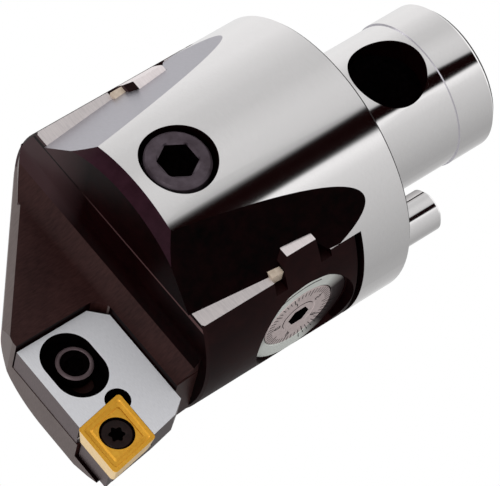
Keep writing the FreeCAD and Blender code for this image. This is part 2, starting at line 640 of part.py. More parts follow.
def make_slide():
    slide = new_body("slide")
    grow(slide, "round", "XY", D.slide_rear, D.slide_front, [((0, 0), D.body_radius)])
    dress(slide, "Chamfer", "round_edges", D.edge_break, lambda edge: isinstance(edge.Curve, Part.Circle))
    relief_rear = D.key_rear - D.relief_rear_width
    above = D.slide_front + 1
    below = D.slide_rear - 1
    corner_level = D.guide_level - D.edge_break
    cut(slide, "guide_faces", "YZ", -beyond, beyond, [[
        (corner_level, below),
        (corner_level, D.slide_rear),
        (D.guide_level, D.slide_rear + D.edge_break),
        (D.guide_level, relief_rear),
        (relief_level, relief_rear),
        (relief_level, D.key_rear),
        (key_top, D.key_rear),
        (key_top, D.key_front - D.key_corner),
        (key_top - D.key_corner, D.key_front),
        (relief_level - D.gib_height / 2, D.key_front),
        (relief_level - D.gib_height / 2, gib_front),
        (D.guide_level, gib_front),
        (D.guide_level, above),
        (beyond, above),
        (beyond, below),
    ]])

    join(slide, "nose_joined", [
        make_nose(),
        make_hollow("nose_front_hollow", nose_root_left + D.edge_break, nose_root_right,
                    D.nose_top, D.nose_blend, 1),
        make_hollow("nose_back_hollow", D.nose_back_start, D.nose_back_end,
                    D.nose_bottom, D.nose_back_blend, -1),
    ])

    nose_beyond = D.insert_tip_x + 5
    front_beyond = D.nose_front + 2
    cut(slide, "cartridge_seat", "XZ", D.pocket_floor, D.guide_level,
        [rectangle(D.pocket_left, D.pocket_back, nose_beyond, front_beyond)])

    def seat_corner(edge):
        point = middle_of(edge)
        return is_straight(edge) and near(point.x, D.pocket_left) and near(point.z, D.pocket_back)

    dress(slide, "Fillet", "seat_corner", D.pocket_corner, seat_corner)
    boss_back = D.nose_front - D.seat_front_inset - D.boss_length
    cut(slide, "boss_seat", "XZ", D.boss_bottom - D.boss_gap, D.pocket_floor + 1,
        [rectangle(D.boss_left - D.boss_gap * 2, boss_back - D.boss_gap * 2, nose_beyond, front_beyond)])
    cut(slide, "cartridge_screw_bore", "XZ", D.nose_bottom - 1, D.pocket_floor + 1,
        [((D.cap_place_x, D.cap_place_z), D.cap_shank_radius + D.running_gap)])

    axis = (D.screw_axis_height, D.screw_axis_place)
    cut(slide, "dial_recess", "YZ", dial_face, beyond, [(axis, D.ring_radius + D.recess_gap)])
    cut(slide, "ring_seat", "YZ", ring_back, dial_face + 1, [(axis, D.ring_radius + D.press_gap)])
    cut(slide, "collar_bore", "YZ", shoulder_place, ring_back + 1, [(axis, D.collar_bore_radius)])
    cut(slide, "screw_bore", "YZ", D.bore_end, shoulder_place + 1, [(axis, D.bush_radius + D.press_gap)])

    slot_radius = D.anchor_radius + D.anchor_slot_gap
    slot_left = -D.travel_out - D.travel_spare
    slot_right = D.travel_in + D.travel_spare
    slot_top = key_top + 1
    for name, centre_x in (("anchor_slot_out", slot_left), ("anchor_slot_in", slot_right)):
        cut(slide, name, "XZ", D.anchor_slot_floor, slot_top, [((centre_x, D.screw_axis_place), slot_radius)])
    cut(slide, "anchor_slot", "XZ", D.anchor_slot_floor, slot_top, [rectangle(
        slot_left, D.screw_axis_place - slot_radius, slot_right, D.screw_axis_place + slot_radius)])

    neck_left = -D.travel_out - D.travel_spare
    neck_right = D.travel_in + D.travel_spare
    for name, centre_x in (("clamp_neck_out", neck_left), ("clamp_neck_in", neck_right)):
        cut(slide, name, "XZ", D.nut_top - 1, D.guide_level + 1, [((centre_x, D.lock_place), lock_bore_radius)])
    cut(slide, "clamp_neck", "XZ", D.nut_top - 1, D.guide_level + 1, [rectangle(
        neck_left, D.lock_place - lock_bore_radius, neck_right, D.lock_place + lock_bore_radius)])
    nut_room = D.nut_half_width + D.nut_side_gap
    nut_end = D.nut_half_length + D.travel_in + D.travel_spare
    nut_floor = D.nut_top - D.nut_height - D.nut_side_gap * 2
    cut(slide, "clamp_slot", "XZ", nut_floor, D.nut_top, [rectangle(
        -beyond, D.lock_place - nut_room, nut_end, D.lock_place + nut_room)])

    stop_room = D.stop_radius + D.stop_slot_gap
    stop_end = D.seat_wall + D.stop_reach + D.stop_slot_spare
    cut(slide, "stop_slot", "XY", D.slide_rear - 1, stop_end + 1.5, [rectangle(
        -D.travel_out - stop_room - D.travel_spare, stop_height - stop_room,
        D.travel_in + stop_room + D.travel_spare, stop_height + stop_room)])
    return slide


# The cartridge, its insert and their screws.

def seat_corners(grow_by, back_gap):
    """Insert seat from the insert's inner corner outwards, larger than the insert at its open sides."""
    left = insert_left - back_gap
    rear = insert_rear - back_gap
    reach = insert_side + grow_by
    step_x = reach * sine(D.insert_lean)
    step_z = reach * cosine(D.insert_lean)
    return [(left, rear), (left + reach, rear), (left + reach + step_x, rear + step_z), (left + step_x, rear + step_z)]


def make_cartridge():
    cartridge = new_body("cartridge")
    right = cartridge_left + D.cartridge_width
    side_x = right + D.cartridge_right_chamfer
    side_z = cartridge_back + D.cartridge_right_rise
    seat_front = D.insert_tip_z - D.seat_front_inset
    seat_right = D.insert_tip_x - D.seat_side_inset
    grow(cartridge, "plate", "XZ", D.pocket_floor, 0, [[
        (cartridge_left, cartridge_front),
        (cartridge_left, cartridge_back + D.cartridge_corner),
        (cartridge_left + D.cartridge_corner, cartridge_back),
        (right, cartridge_back),
        (side_x, side_z),
        (side_x + D.cartridge_side_lean, insert_rear - D.insert_gap),
        (seat_right, seat_front),
        (insert_left + insert_side * sine(D.insert_lean) + D.insert_gap * 6, seat_front),
        (insert_left + insert_side * sine(D.insert_lean), cartridge_front),
    ]])
    boss_back = seat_front - D.boss_length
    grow(cartridge, "boss", "XZ", D.boss_bottom, D.pocket_floor + 0.5, [[
        (D.boss_left, boss_back),
        (side_x - D.seat_side_inset, boss_back),
        (seat_right - D.seat_side_inset, seat_front),
        (D.boss_left, seat_front),
    ]])
    cut(cartridge, "insert_seat", "XZ", -D.insert_thickness, 1, [seat_corners(as_size(4), D.insert_gap)])
    cut(cartridge, "seat_relief", "XZ", -D.insert_thickness - D.seat_relief_depth, 1,
        [((insert_left + D.seat_relief_radius * 0.45, insert_rear + D.seat_relief_radius * 0.45),
          D.seat_relief_radius)])
    cut(cartridge, "insert_screw_bore", "XZ", D.boss_bottom - 1, -D.insert_thickness + 1,
        [((insert_middle_x, insert_middle_z), D.insert_screw_radius + D.running_gap)])

    recess_x = D.cap_place_x + D.cap_recess_shift
    recess_z = D.cap_place_z + D.cap_recess_lift
    half = D.cartridge_shift / 2 + 1
    for name, radius, low, centre_z in (
            ("screw_recess", D.cap_recess_radius, D.cap_recess_floor, recess_z),
            ("screw_slot", D.cap_slot_radius, D.pocket_floor - 1, D.cap_place_z)):
        for end, side in (("_in", -1), ("_out", 1)):
            cut(cartridge, name + end, "XZ", low, 1, [((recess_x + half * side, centre_z), radius)])
        cut(cartridge, name, "XZ", low, 1,
            [rectangle(recess_x - half, centre_z - radius, recess_x + half, centre_z + radius)])
    return cartridge


def rhombus(inset):
    """Insert outline, moved in from every side by the inset."""
    inset = as_size(inset)
    low = insert_rear + inset
    high = D.insert_tip_z - inset
    shift_low = inset * sine(D.insert_lean) / cosine(D.insert_lean)
    side_step = inset / cosine(D.insert_lean)
    left_low = insert_left + side_step + shift_low
    right_low = insert_left + insert_side - side_step + shift_low
    lean = (high - low) * sine(D.insert_lean) / cosine(D.insert_lean)
    return [(left_low, low), (right_low, low), (right_low + lean, high), (left_low + lean, high)]


CORNER_STEPS = 4


def rounded_rhombus(radius):
    """Insert outline with its four corners rounded in short straight steps."""
    leaning = as_size(180) - D.insert_lean
    normals = (leaning, as_size(270), leaning + 180, as_size(450), leaning + 360)
    outline = []
    for centre, start, end in zip(rhombus(radius), normals, normals[1:]):
        for step in range(CORNER_STEPS + 1):
            angle = start + (end - start) * (step / CORNER_STEPS)
            outline.append((centre[0] + radius * cosine(angle), centre[1] + radius * sine(angle)))
    return outline


def make_insert():
    insert = new_body("insert")
    grow(insert, "plate", "XZ", -D.insert_thickness, 0, [rounded_rhombus(D.insert_corner)],
         taper=-D.insert_clearance)
    inner = D.insert_land + D.insert_groove
    cut(insert, "chip_groove", "XZ", -D.insert_groove_depth, 1, [rhombus(D.insert_land), rhombus(inner)])
    centre = (insert_middle_x, insert_middle_z)
    cut(insert, "bore", "XZ", -D.insert_thickness - 1, 1, [(centre, D.insert_hole_radius)])
    cut(insert, "sink", "XZ", -D.insert_sink_depth, 0, [(centre, D.insert_sink_radius)], taper=D.insert_sink_angle)
    return insert


def make_insert_screw():
    screw = new_body("insert_screw")
    top = -D.insert_screw_sink
    cone_start = top - D.insert_screw_rim
    slope = D.insert_sink_depth / (D.insert_sink_radius - D.insert_hole_radius)
    cone_end = cone_start - (D.insert_screw_head_radius - D.insert_screw_radius) * slope
    turn(screw, "outside", [
        (0, top),
        (D.insert_screw_head_radius, top),
        (D.insert_screw_head_radius, cone_start),
        (D.insert_screw_radius, cone_end),
        (D.insert_screw_radius, -D.insert_screw_length),
        (0, -D.insert_screw_length),
    ])
    cut(screw, "socket", "XY", top - D.insert_screw_socket_depth, top + 1, [hexagon(D.insert_screw_socket)])
    place(screw, TO_Y, x=insert_middle_x, z=insert_middle_z)
    return screw


def make_cartridge_screw():
    screw = new_body("cartridge_screw")
    bottom = D.cap_recess_floor
    top = bottom + D.cap_head_height
    end = D.nose_bottom + 0.6
    turn(screw, "outside", [
        (0, top - D.cap_dish_depth),
        (D.cap_dish_radius - D.cap_dish_depth, top - D.cap_dish_depth),
        (D.cap_dish_radius, top),
        (D.cap_head_radius - D.edge_break / 2, top),
        (D.cap_head_radius, top - D.edge_break / 2),
        (D.cap_head_radius, bottom),
        (D.cap_shank_radius, bottom),
        (D.cap_shank_radius, end),
        (0, end),
    ])
    cut(screw, "socket", "XY", top - D.cap_hexagon_depth, top, [hexagon(across_flats(D.cap_hexagon))])
    place(screw, TO_Y, x=D.cap_place_x, z=D.cap_place_z)
    return screw


# The lock screw pulls the clamp nut up, and with it the slide on to the guide faces.

def make_lock_screw():
    screw = new_body("lock_screw")
    bottom = lock_recess_floor + D.lock_washer_height
    top = bottom + D.lock_head_height
    end = D.nut_top - D.nut_height + D.edge_break
    turn(screw, "outside", [
        (0, top),
        (D.lock_head_radius - D.lock_head_chamfer, top),
        (D.lock_head_radius, top - D.lock_head_chamfer),
        (D.lock_head_radius, bottom),
        (D.lock_shank_radius, bottom),
        (D.lock_shank_radius, end),
        (0, end),
    ])
    cut(screw, "socket", "XY", top - D.lock_hexagon_depth, top + 1, [hexagon(across_flats(D.lock_hexagon))])
    place(screw, TO_Y, z=D.lock_place)
    return screw


def make_washer(label, inner, outer, low, high):
    washer = new_body(label)
    turn(washer, "section", [(inner, low), (outer, low), (outer, high), (inner, high)])
    return washer


def make_lock_washer():
    washer = make_washer("lock_washer", lock_bore_radius, D.lock_head_radius + 0.25,
                         lock_recess_floor, lock_recess_floor + D.lock_washer_height)
    place(washer, TO_Y, z=D.lock_place)
    return washer


def make_clamp_nut():
    nut = new_body("clamp_nut")
    grow(nut, "block", "XZ", D.nut_top - D.nut_height, D.nut_top, [rectangle(
        -D.nut_half_length, D.lock_place - D.nut_half_width, D.nut_half_length, D.lock_place + D.nut_half_width)])
    dress(nut, "Chamfer", "edges", D.edge_break, lambda edge: edge.BoundBox.YLength > 1)
    cut(nut, "thread", "XZ", D.nut_top - D.nut_height - 1, D.nut_top + 1,
        [((0, D.lock_place), D.lock_shank_radius + D.running_gap)])
    return nut


def make_gib_strip():
    strip = new_body("gib_strip")
    low = gib_top - D.gib_height
    rear = D.key_front + D.guide_gap * 2
    grow(strip, "bar", "YZ", -gib_half_length, gib_half_length, [rectangle(low, rear, gib_top, gib_front)])
    for number, side in enumerate((-1, 1), start=1):
        centre = (D.gib_screw_offset * side, (rear + gib_front) / 2)
        cut(strip, "screw_bore_%d" % number, "XZ", low - 1, gib_top + 1, [(centre, D.gib_screw_radius + D.press_gap)])
        cut(strip, "screw_sink_%d" % number, "XZ", low - 1, low + D.gib_screw_head_height,
            [(centre, D.gib_screw_head_radius + D.press_gap)])
    return strip


def make_gib_screws():
    low = gib_top - D.gib_height
    rear = D.key_front + D.guide_gap * 2
    screws = []
    for number, side in enumerate((-1, 1), start=1):
        screw = new_body("gib_screw_%d" % number)
        turn(screw, "outside", [
            (0, low),
            (D.gib_screw_head_radius, low),
            (D.gib_screw_head_radius, low + D.gib_screw_head_height),
            (D.gib_screw_radius, low + D.gib_screw_head_height),
            (D.gib_screw_radius, gib_top + D.gib_screw_grip),
            (0, gib_top + D.gib_screw_grip),
        ])
        place(screw, TO_Y, x=D.gib_screw_offset * side, z=(rear + gib_front) / 2)
        screws.append(screw)
    return group("gib_screws", screws)


def group(label, pieces):
    compound = doc.addObject("Part::Compound", label)
    compound.Links = pieces
    compound.Label = label
    return compound


# The micrometer: screw, dial, vernier ring, thrust washers, seal, bush and the anchor nut.

def make_micrometer_screw():
    screw = new_body("micrometer_screw")
    collar_start = shoulder_place + D.washer_width + D.axial_play
    collar_end = collar_start + D.collar_width
    plain = D.thread_radius - D.thread_relief
    turn(screw, "outside", [
        (0, D.tail_end),
        (D.tail_radius, D.tail_end),
        (D.tail_radius, D.thread_start),
        (D.thread_radius, D.thread_start),
        (D.thread_radius, D.thread_end),
        (plain, D.thread_end),
        (plain, collar_start),
        (D.collar_radius, collar_start),
        (D.collar_radius, collar_end),
        (D.dial_hub_radius, collar_end),
        (D.dial_hub_radius, dial_face),
        (0, dial_face),
    ])
    cut(screw, "socket", "XY", dial_face - D.dial_hexagon_depth, dial_face + 1,
        [hexagon(across_flats(D.dial_hexagon))])
    place(screw, TO_X, y=D.screw_axis_height, z=D.screw_axis_place)
    return screw


def make_graduated_dial():
    dial = new_body("graduated_dial")
    bore = D.dial_hub_radius + D.press_gap
    turn(dial, "disc", [
        (bore, dial_face - D.dial_thickness),
        (D.dial_radius, dial_face - D.dial_thickness),
        (D.dial_radius, dial_face),
        (bore, dial_face),
    ])
    place(dial, TO_X, y=D.screw_axis_height, z=D.screw_axis_place)
    return dial


def make_vernier_ring():
    ring = new_body("vernier_ring")
    step = dial_face - D.dial_thickness - D.axial_play * 2
    bore = D.dial_radius + D.ring_bore_gap
    turn(ring, "outside", [
        (seal_bore_radius, ring_back),
        (D.ring_radius, ring_back),
        (D.ring_radius, dial_face),
        (bore, dial_face),
        (bore, step),
        (seal_bore_radius, step),
    ])
    place(ring, TO_X, y=D.screw_axis_height, z=D.screw_axis_place)
    return ring


def make_spindle_seal():
    inner = D.dial_hub_radius + D.running_gap
    outer = seal_bore_radius - D.running_gap
    start = ring_back + D.axial_play
    seal = make_washer("spindle_seal", inner, outer, start, dial_face - D.dial_thickness - D.axial_play * 3)
    place(seal, TO_X, y=D.screw_axis_height, z=D.screw_axis_place)
    return seal


def make_thrust_washers():
    inner = D.thread_radius + D.running_gap * 4
    outer = D.collar_bore_radius - D.press_gap
    starts = (shoulder_place, ring_back - D.washer_width)
    washers = []
    for number, start in enumerate(starts, start=1):
        bore = inner if number == 1 else D.dial_hub_radius + D.running_gap * 2
        washer = make_washer("thrust_washer_%d" % number, bore, outer, start, start + D.washer_width)
        place(washer, TO_X, y=D.screw_axis_height, z=D.screw_axis_place)
        washers.append(washer)
    return group("thrust_washers", washers)


def make_spindle_bush():
    end = D.bore_end + D.bush_length
    bush = make_washer("spindle_bush", D.tail_radius + D.running_gap, D.bush_radius, D.bore_end, end)
    place(bush, TO_X, y=D.screw_axis_height, z=D.screw_axis_place)
    return bush


def make_anchor_nut():
    nut = new_body("anchor_nut")
    turn(nut, "round", [
        (0, D.anchor_bottom),
        (D.anchor_radius, D.anchor_bottom),
        (D.anchor_radius, anchor_top),
        (0, anchor_top),
    ])
    cut(nut, "thread", "YZ", -D.anchor_radius - 1, D.anchor_radius + 1,
        [((0, D.screw_axis_height), D.thread_radius + D.running_gap)])
    place(nut, TO_Y, z=D.screw_axis_place)
    return nut


def make_set_screw(label, radius, low, high, socket, socket_depth):
    """Headless screw along Z with its socket at the low end."""
    screw = new_body(label)
    turn(screw, "outside", [
        (0, low),
        (radius, low),
        (radius, high),
        (0, high),
    ])
    cut(screw, "socket", "XY", low - 1, low + socket_depth, [hexagon(across_flats(socket))])
    return screw


def make_anchor_set_screw():
    end = D.screw_axis_place - D.anchor_radius - D.press_gap
    screw = make_set_screw("anchor_set_screw", D.anchor_screw_radius, D.anchor_screw_start, end,
                           D.anchor_hexagon, D.anchor_hexagon_depth)
    place(screw, AS_IS, y=anchor_screw_height)
    return screw


def make_stop_pin():
    pin = new_body("travel_stop_pin")
    low = D.stop_hole_floor
    high = D.seat_wall + D.stop_reach + D.edge_break
    radius = D.stop_radius
    turn(pin, "outside", [
        (0, low),
        (radius, low),
        (radius, high),
        (0, high),
    ])
    place(pin, AS_IS, y=stop_height)
    return pin


# The rear coupling: drive pin, floating coupling pin and its retaining screw.

def make_drive_pin():
    pin = new_body("drive_pin")
    turn(pin, "outside", [
        (0, -D.drive_length),
        (D.drive_radius - D.drive_chamfer, -D.drive_length),
        (D.drive_radius, -D.drive_length + D.drive_chamfer),
        (D.drive_radius, 0),
        (D.drive_collar_radius, 0),
        (D.drive_collar_radius, D.drive_collar_depth),
        (D.drive_shank_radius, D.drive_collar_depth),
        (D.drive_shank_radius, D.drive_depth),
        (0, D.drive_depth),
    ])
    place(pin, AS_IS, x=drive_offset)
    return pin


def make_coupling_pin():
    pin = new_body("coupling_pin")
    radius = D.coupling_hole_radius - D.running_gap
    end = D.coupling_half_length
    notch_half = D.retainer_point_radius + D.coupling_float + D.running_gap * 4
    turn(pin, "outside", [
        (0, -end + D.coupling_cone_depth),
        (D.coupling_cone_radius, -end),
        (radius, -end),
        (radius, end),
        (D.coupling_cone_radius, end),
        (0, end - D.coupling_cone_depth),
    ])
    cut(pin, "notch", "YZ", -radius - 1, radius + 1,
        [rectangle(radius - D.coupling_notch_depth, -notch_half, radius + 1, notch_half)])
    place(pin, TO_Y, z=D.coupling_place)
    return pin


def make_coupling_pin_screw():
    screw = new_body("coupling_pin_screw")
    low = -D.spigot_length + D.retainer_start
    shoulder = low + D.retainer_thread_length
    notch_floor = D.coupling_place - D.coupling_hole_radius + D.running_gap + D.coupling_notch_depth
    tip = notch_floor - D.retainer_point_gap
    turn(screw, "outside", [
        (0, low),
        (D.retainer_radius, low),
        (D.retainer_radius, shoulder),
        (D.retainer_point_radius, shoulder),
        (D.retainer_point_radius, tip),
        (0, tip),
    ])
    cut(screw, "socket", "XY", low - 1, low + D.anchor_hexagon_depth, [hexagon(across_flats(D.retainer_hexagon))])
    return screw


MAKERS = (
    make_body,
    make_slide,
    make_cartridge,
    make_insert,
    make_insert_screw,
    make_cartridge_screw,
    make_lock_screw,
    make_lock_washer,
    make_clamp_nut,
    make_gib_strip,
    make_gib_screws,
    make_micrometer_screw,
    make_graduated_dial,
    make_vernier_ring,
    make_spindle_seal,
    make_thrust_washers,
    make_spindle_bush,
    make_anchor_nut,
    make_anchor_set_screw,
    make_stop_pin,
    make_drive_pin,
    make_coupling_pin,
    make_coupling_pin_screw,
)

pieces = [maker() for maker in MAKERS]
doc.recompute()

for thing in doc.Objects:
    if "Invalid" in thing.State or "Error" in thing.State:
        raise RuntimeError("object %s failed" % thing.Name)
for piece in pieces:
    if piece.Shape.isNull() or not piece.Shape.isValid():
        raise RuntimeError("piece %s has no valid shape" % piece.Label)

os.makedirs("parts", exist_ok=True)
for piece in pieces:
    piece.Shape.exportStep("parts/%s.step" % piece.Label)
    print("%-20s solids %d volume %.1f" % (piece.Label, len(piece.Shape.Solids), piece.Shape.Volume))
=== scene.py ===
import math

import bmesh
import bpy
from mathutils import Matrix, Vector


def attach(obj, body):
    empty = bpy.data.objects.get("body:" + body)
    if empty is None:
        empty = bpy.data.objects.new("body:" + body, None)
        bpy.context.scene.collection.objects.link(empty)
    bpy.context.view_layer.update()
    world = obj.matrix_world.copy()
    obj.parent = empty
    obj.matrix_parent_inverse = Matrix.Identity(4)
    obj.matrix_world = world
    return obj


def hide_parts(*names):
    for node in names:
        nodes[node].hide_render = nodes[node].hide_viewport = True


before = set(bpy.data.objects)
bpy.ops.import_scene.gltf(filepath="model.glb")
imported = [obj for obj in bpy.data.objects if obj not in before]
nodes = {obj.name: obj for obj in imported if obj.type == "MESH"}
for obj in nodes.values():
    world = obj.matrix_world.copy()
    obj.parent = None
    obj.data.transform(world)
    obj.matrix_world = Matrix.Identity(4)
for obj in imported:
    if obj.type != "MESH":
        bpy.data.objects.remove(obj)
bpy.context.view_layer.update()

MM = 0.001

# Sizes and places of the head, in millimetres, in the frame of the part.
BODY_R = 34.0
SPIGOT_R = 18.0
SPIGOT_END = -40.0
CHAMFER_START = 55.3
GUIDE_LEVEL = 17.5
KEY_TOP = 21.0
SLIDE_FRONT = 57.2
DIAL_FACE = 31.5
DIAL_PLACE = 29.2
DIAL_R = 9.05
HUB_R = 4.2
RING_R = 13.0
RING_BORE = 9.2
FLANGE_BORE = 5.8
DISC_DEPTH = 1.9
DIVISIONS = 50
FEED_SOCKET_DEPTH = 3.6
FEED_SOCKET_REACH = 3.0
LOCK_PLACE = 43.7
LOCK_TOP = 33.2
LOCK_R = 7.45
LOCK_SEAT = 25.5
LOCK_SHANK = 5.0
LOCK_SOCKET = 8.0
LOCK_THREAD = 18.0
LOCK_END = 2.6
INSERT_CENTRE = (32.632, 80.05)
INSERT_CIRCLE = 12.7
INSERT_LEAN = 10.0
INSERT_T = 4.76
INSERT_BORE = 2.75
INSERT_CORNER = 0.8
INSERT_CLEARANCE = 7.0
CAP_CENTRE = (13.4, 76.4)
CAP_R = 4.2
CAP_SHANK = 2.5
CAP_SEAT = -5.0
CAP_TOP = -1.5
CAP_SOCKET = 4.0
CAP_END = -13.7
CAP_RECESS = (14.4, 77.5)
CAP_RECESS_REACH = 9.0
SEAT_RELIEF = (26.37, 75.01)
SEAT_RELIEF_R = 3.1
NOSE_TOP = 2.0
# Level and width of the painted highlight line along the slide's front.
LINE_LEVEL = 15.9
LINE_WIDTH = 1.1
POCKET_DEPTH = -8.0
POCKET_END = 80.0
FLAT_ANGLE = 47.5
FLAT_SLOPE = 0.0755
SAME_WAY = 0.9985
CORNER_ANGLE = 28.0


# Node material helpers.

def new_material(name):
    mat = bpy.data.materials.new(name)
    mat.use_nodes = True
    tree = mat.node_tree
    tree.nodes.clear()
    out = tree.nodes.new("ShaderNodeOutputMaterial")
    bsdf = tree.nodes.new("ShaderNodeBsdfPrincipled")
    tree.links.new(bsdf.outputs["BSDF"], out.inputs["Surface"])
    return mat, tree, bsdf


def add(tree, kind, **inputs):
    node = tree.nodes.new(kind)
    for name, value in inputs.items():
        node.inputs[name.replace("_", " ")].default_value = value
    return node


def object_place(tree, scale=(1.0, 1.0, 1.0)):
    """Object coordinates, in metres, scaled."""
    coord = tree.nodes.new("ShaderNodeTexCoord")
    mapping = tree.nodes.new("ShaderNodeMapping")
    mapping.inputs["Scale"].default_value = scale
    tree.links.new(coord.outputs["Object"], mapping.inputs["Vector"])
    return mapping.outputs["Vector"]


def noise(tree, vector, scale, detail=3.0, roughness=0.55):
    node = add(tree, "ShaderNodeTexNoise", Scale=scale, Detail=detail, Roughness=roughness)
    tree.links.new(vector, node.inputs["Vector"])
    return node.outputs["Fac"]


def ramp(tree, fac, stops):
    node = tree.nodes.new("ShaderNodeValToRGB")
    elements = node.color_ramp.elements
    while len(elements) < len(stops):
        elements.new(0.5)
    for element, (place, colour) in zip(elements, stops):
        element.position = place
        element.color = (*colour, 1.0)
    tree.links.new(fac, node.inputs["Fac"])
    return node.outputs["Color"]


def span(tree, fac, low, high):
    node = add(tree, "ShaderNodeMapRange", To_Min=low, To_Max=high)
    tree.links.new(fac, node.inputs["Value"])
    return node.outputs["Result"]


def bump(tree, bsdf, height, strength, distance):
    node = add(tree, "ShaderNodeBump", Strength=strength, Distance=distance)
    tree.links.new(height, node.inputs["Height"])
    tree.links.new(node.outputs["Normal"], bsdf.inputs["Normal"])


def grain_material(name, dark, light, rough, metallic, stretch, scale,
                   strength=0.15, specular=0.5, blotch=0.0):
    """A finish with fine stretched grain, slow blotches and a little roughness change."""
    mat, tree, bsdf = new_material(name)
    fine = noise(tree, object_place(tree, stretch), scale, 4.0, 0.6)
    slow = noise(tree, object_place(tree), 60.0, 3.0, 0.6)
    mixed = math_node(tree, "MULTIPLY_ADD", slow, blotch, span(tree, fine, 0.0, 1.0 - blotch))
    colour = ramp(tree, mixed, [(0.3, srgb(*dark)), (0.7, srgb(*light))])
    tree.links.new(colour, bsdf.inputs["Base Color"])
    tree.links.new(span(tree, fine, rough * 0.85, rough * 1.15), bsdf.inputs["Roughness"])
    bsdf.inputs["Metallic"].default_value = metallic
    bsdf.inputs["Specular IOR Level"].default_value = specular
    bump(tree, bsdf, fine, strength, 0.00002)
    return mat


def math_node(tree, operation, first, second, third=None):
    """A Math node's result; first is a socket, the others are numbers or sockets."""
    node = tree.nodes.new("ShaderNodeMath")
    node.operation = operation
    tree.links.new(first, node.inputs[0])
    for k, value in ((1, second), (2, third)):
        if isinstance(value, (int, float)):
            node.inputs[k].default_value = value
        elif value is not None:
            tree.links.new(value, node.inputs[k])
    return node.outputs[0]


def place_parts(tree):
    """Object coordinates as separate X, Y and Z outputs."""
    split = tree.nodes.new("ShaderNodeSeparateXYZ")
    tree.links.new(object_place(tree), split.inputs[0])
    return split.outputs


def turn_share(tree, over, along, start=0.0):
    """Share of a full turn at which a direction lies, counted from a start in radians."""
    turn = math_node(tree, "ARCTAN2", over, along)
    shifted = math_node(tree, "SUBTRACT", turn, start)
    whole = math_node(tree, "FLOORED_MODULO", shifted, 2 * math.pi)
    return math_node(tree, "DIVIDE", whole, 2 * math.pi)


def share_between(tree, value, low, high):
    """0 to 1 as a place runs between two places in millimetres."""
    node = add(tree, "ShaderNodeMapRange", From_Min=low * MM, From_Max=high * MM)
    tree.links.new(value, node.inputs["Value"])
    return node.outputs["Result"]


def blend_colour(mat, share):
    """Puts a mix before a finish's colour; returns the input of the second colour."""
    tree = mat.node_tree
    bsdf = next(node for node in tree.nodes if node.type == "BSDF_PRINCIPLED")
    own = bsdf.inputs["Base Color"].links[0].from_socket
    mix = tree.nodes.new("ShaderNodeMixRGB")
    tree.links.new(share, mix.inputs["Fac"])
    tree.links.new(own, mix.inputs["Color1"])
    tree.links.new(mix.outputs["Color"], bsdf.inputs["Base Color"])
    return mix.inputs["Color2"]


def fade_along_x(mat, colour, full, none):
    """Blends a lighter colour in as painted light, fully at one place along X and not at all at the
    other.
    """
    tree = mat.node_tree
    share = share_between(tree, place_parts(tree)["X"], none, full)
    blend_colour(mat, share).default_value = (*colour, 1.0)


def split_line(mat, stops):
    """A painted highlight on the slide's front along its edge with the body, toned by the place along
    X: near black towards -X and light from there to +X.
    """
    tree = mat.node_tree
    place = place_parts(tree)
    near = math_node(tree, "COMPARE", place["Y"], LINE_LEVEL * MM, LINE_WIDTH / 2 * MM)
    front = math_node(tree, "GREATER_THAN", place["Z"], (SLIDE_FRONT - 0.1) * MM)
    highlight_mask = math_node(tree, "MULTIPLY", near, front)
    share = share_between(tree, place["X"], -BODY_R, BODY_R)
    places = [((x + BODY_R) / (2 * BODY_R), tone) for x, tone in stops]
    tree.links.new(ramp(tree, share, places), blend_colour(mat, highlight_mask))


def srgb(*numbers):
    """Linear colour from 0-255 numbers."""
    out = []
    for number in numbers:
        c = number / 255.0
        out.append(c / 12.92 if c <= 0.04045 else ((c + 0.055) / 1.055) ** 2.4)
    return tuple(out)


EVEN = (1, 1, 1)
ground = grain_material(
    "ground_steel", (236, 234, 234), (243, 241, 241), 0.08, 1.0, (1, 1, 14), 900.0, 0.03)
key_face = grain_material(
    "key_face", (226, 216, 216), (240, 231, 231), 0.4, 0.25, (0.6, 6, 6), 700.0, 0.12)
ground_face = grain_material(
    "ground_face", (194, 187, 187), (212, 204, 203), 0.38, 0.45, (0.6, 6, 6), 700.0, 0.12)
flat_steel = grain_material(
    "ground_flat", (166, 164, 171), (178, 176, 183), 0.35, 1.0, (1, 1, 10), 600.0, 0.1)
# Black oxide. On the body's front face and in the bores this black is painted shade, and it carries
# painted light below.
black = grain_material(
    "black_oxide_painted_light", (0, 0, 0), (20, 3, 4), 0.32, 0.0, EVEN, 500.0, 0.04, 0.02, 0.6)
# Painted light: the black turns lighter towards -X.
fade_along_x(black, srgb(58, 41, 43), -22.0, -11.0)
# Painted highlight along the slide's front at its edge with the body: near black at -X, light brownish
# towards +X.
EDGE_HIGHLIGHT_TONES = ((-30, (8, 2, 2)), (-14, (10, 2, 2)), (-6, (66, 46, 46)), (30, (84, 62, 62)))
split_line(black, [(x, srgb(*tone)) for x, tone in EDGE_HIGHLIGHT_TONES])
# The front chamfer's dark colour is painted shade.
black_edge = grain_material(
    "black_edge", (26, 6, 14), (50, 26, 36), 0.36, 0.0, EVEN, 400.0, 0.04, 0.03, 0.6)
# Painted light: lighter towards -X here too.
fade_along_x(black_edge, srgb(62, 45, 47), -22.0, -11.0)
black_slide = grain_material(
    "black_slide", (12, 1, 2), (32, 8, 8), 0.5, 0.0, EVEN, 420.0, 0.05, 0.06, 0.6)
black_nose = grain_material(
    "black_nose", (26, 8, 8), (58, 34, 32), 0.4, 0.0, (5, 1, 1), 500.0, 0.1, 0.1, 0.5)
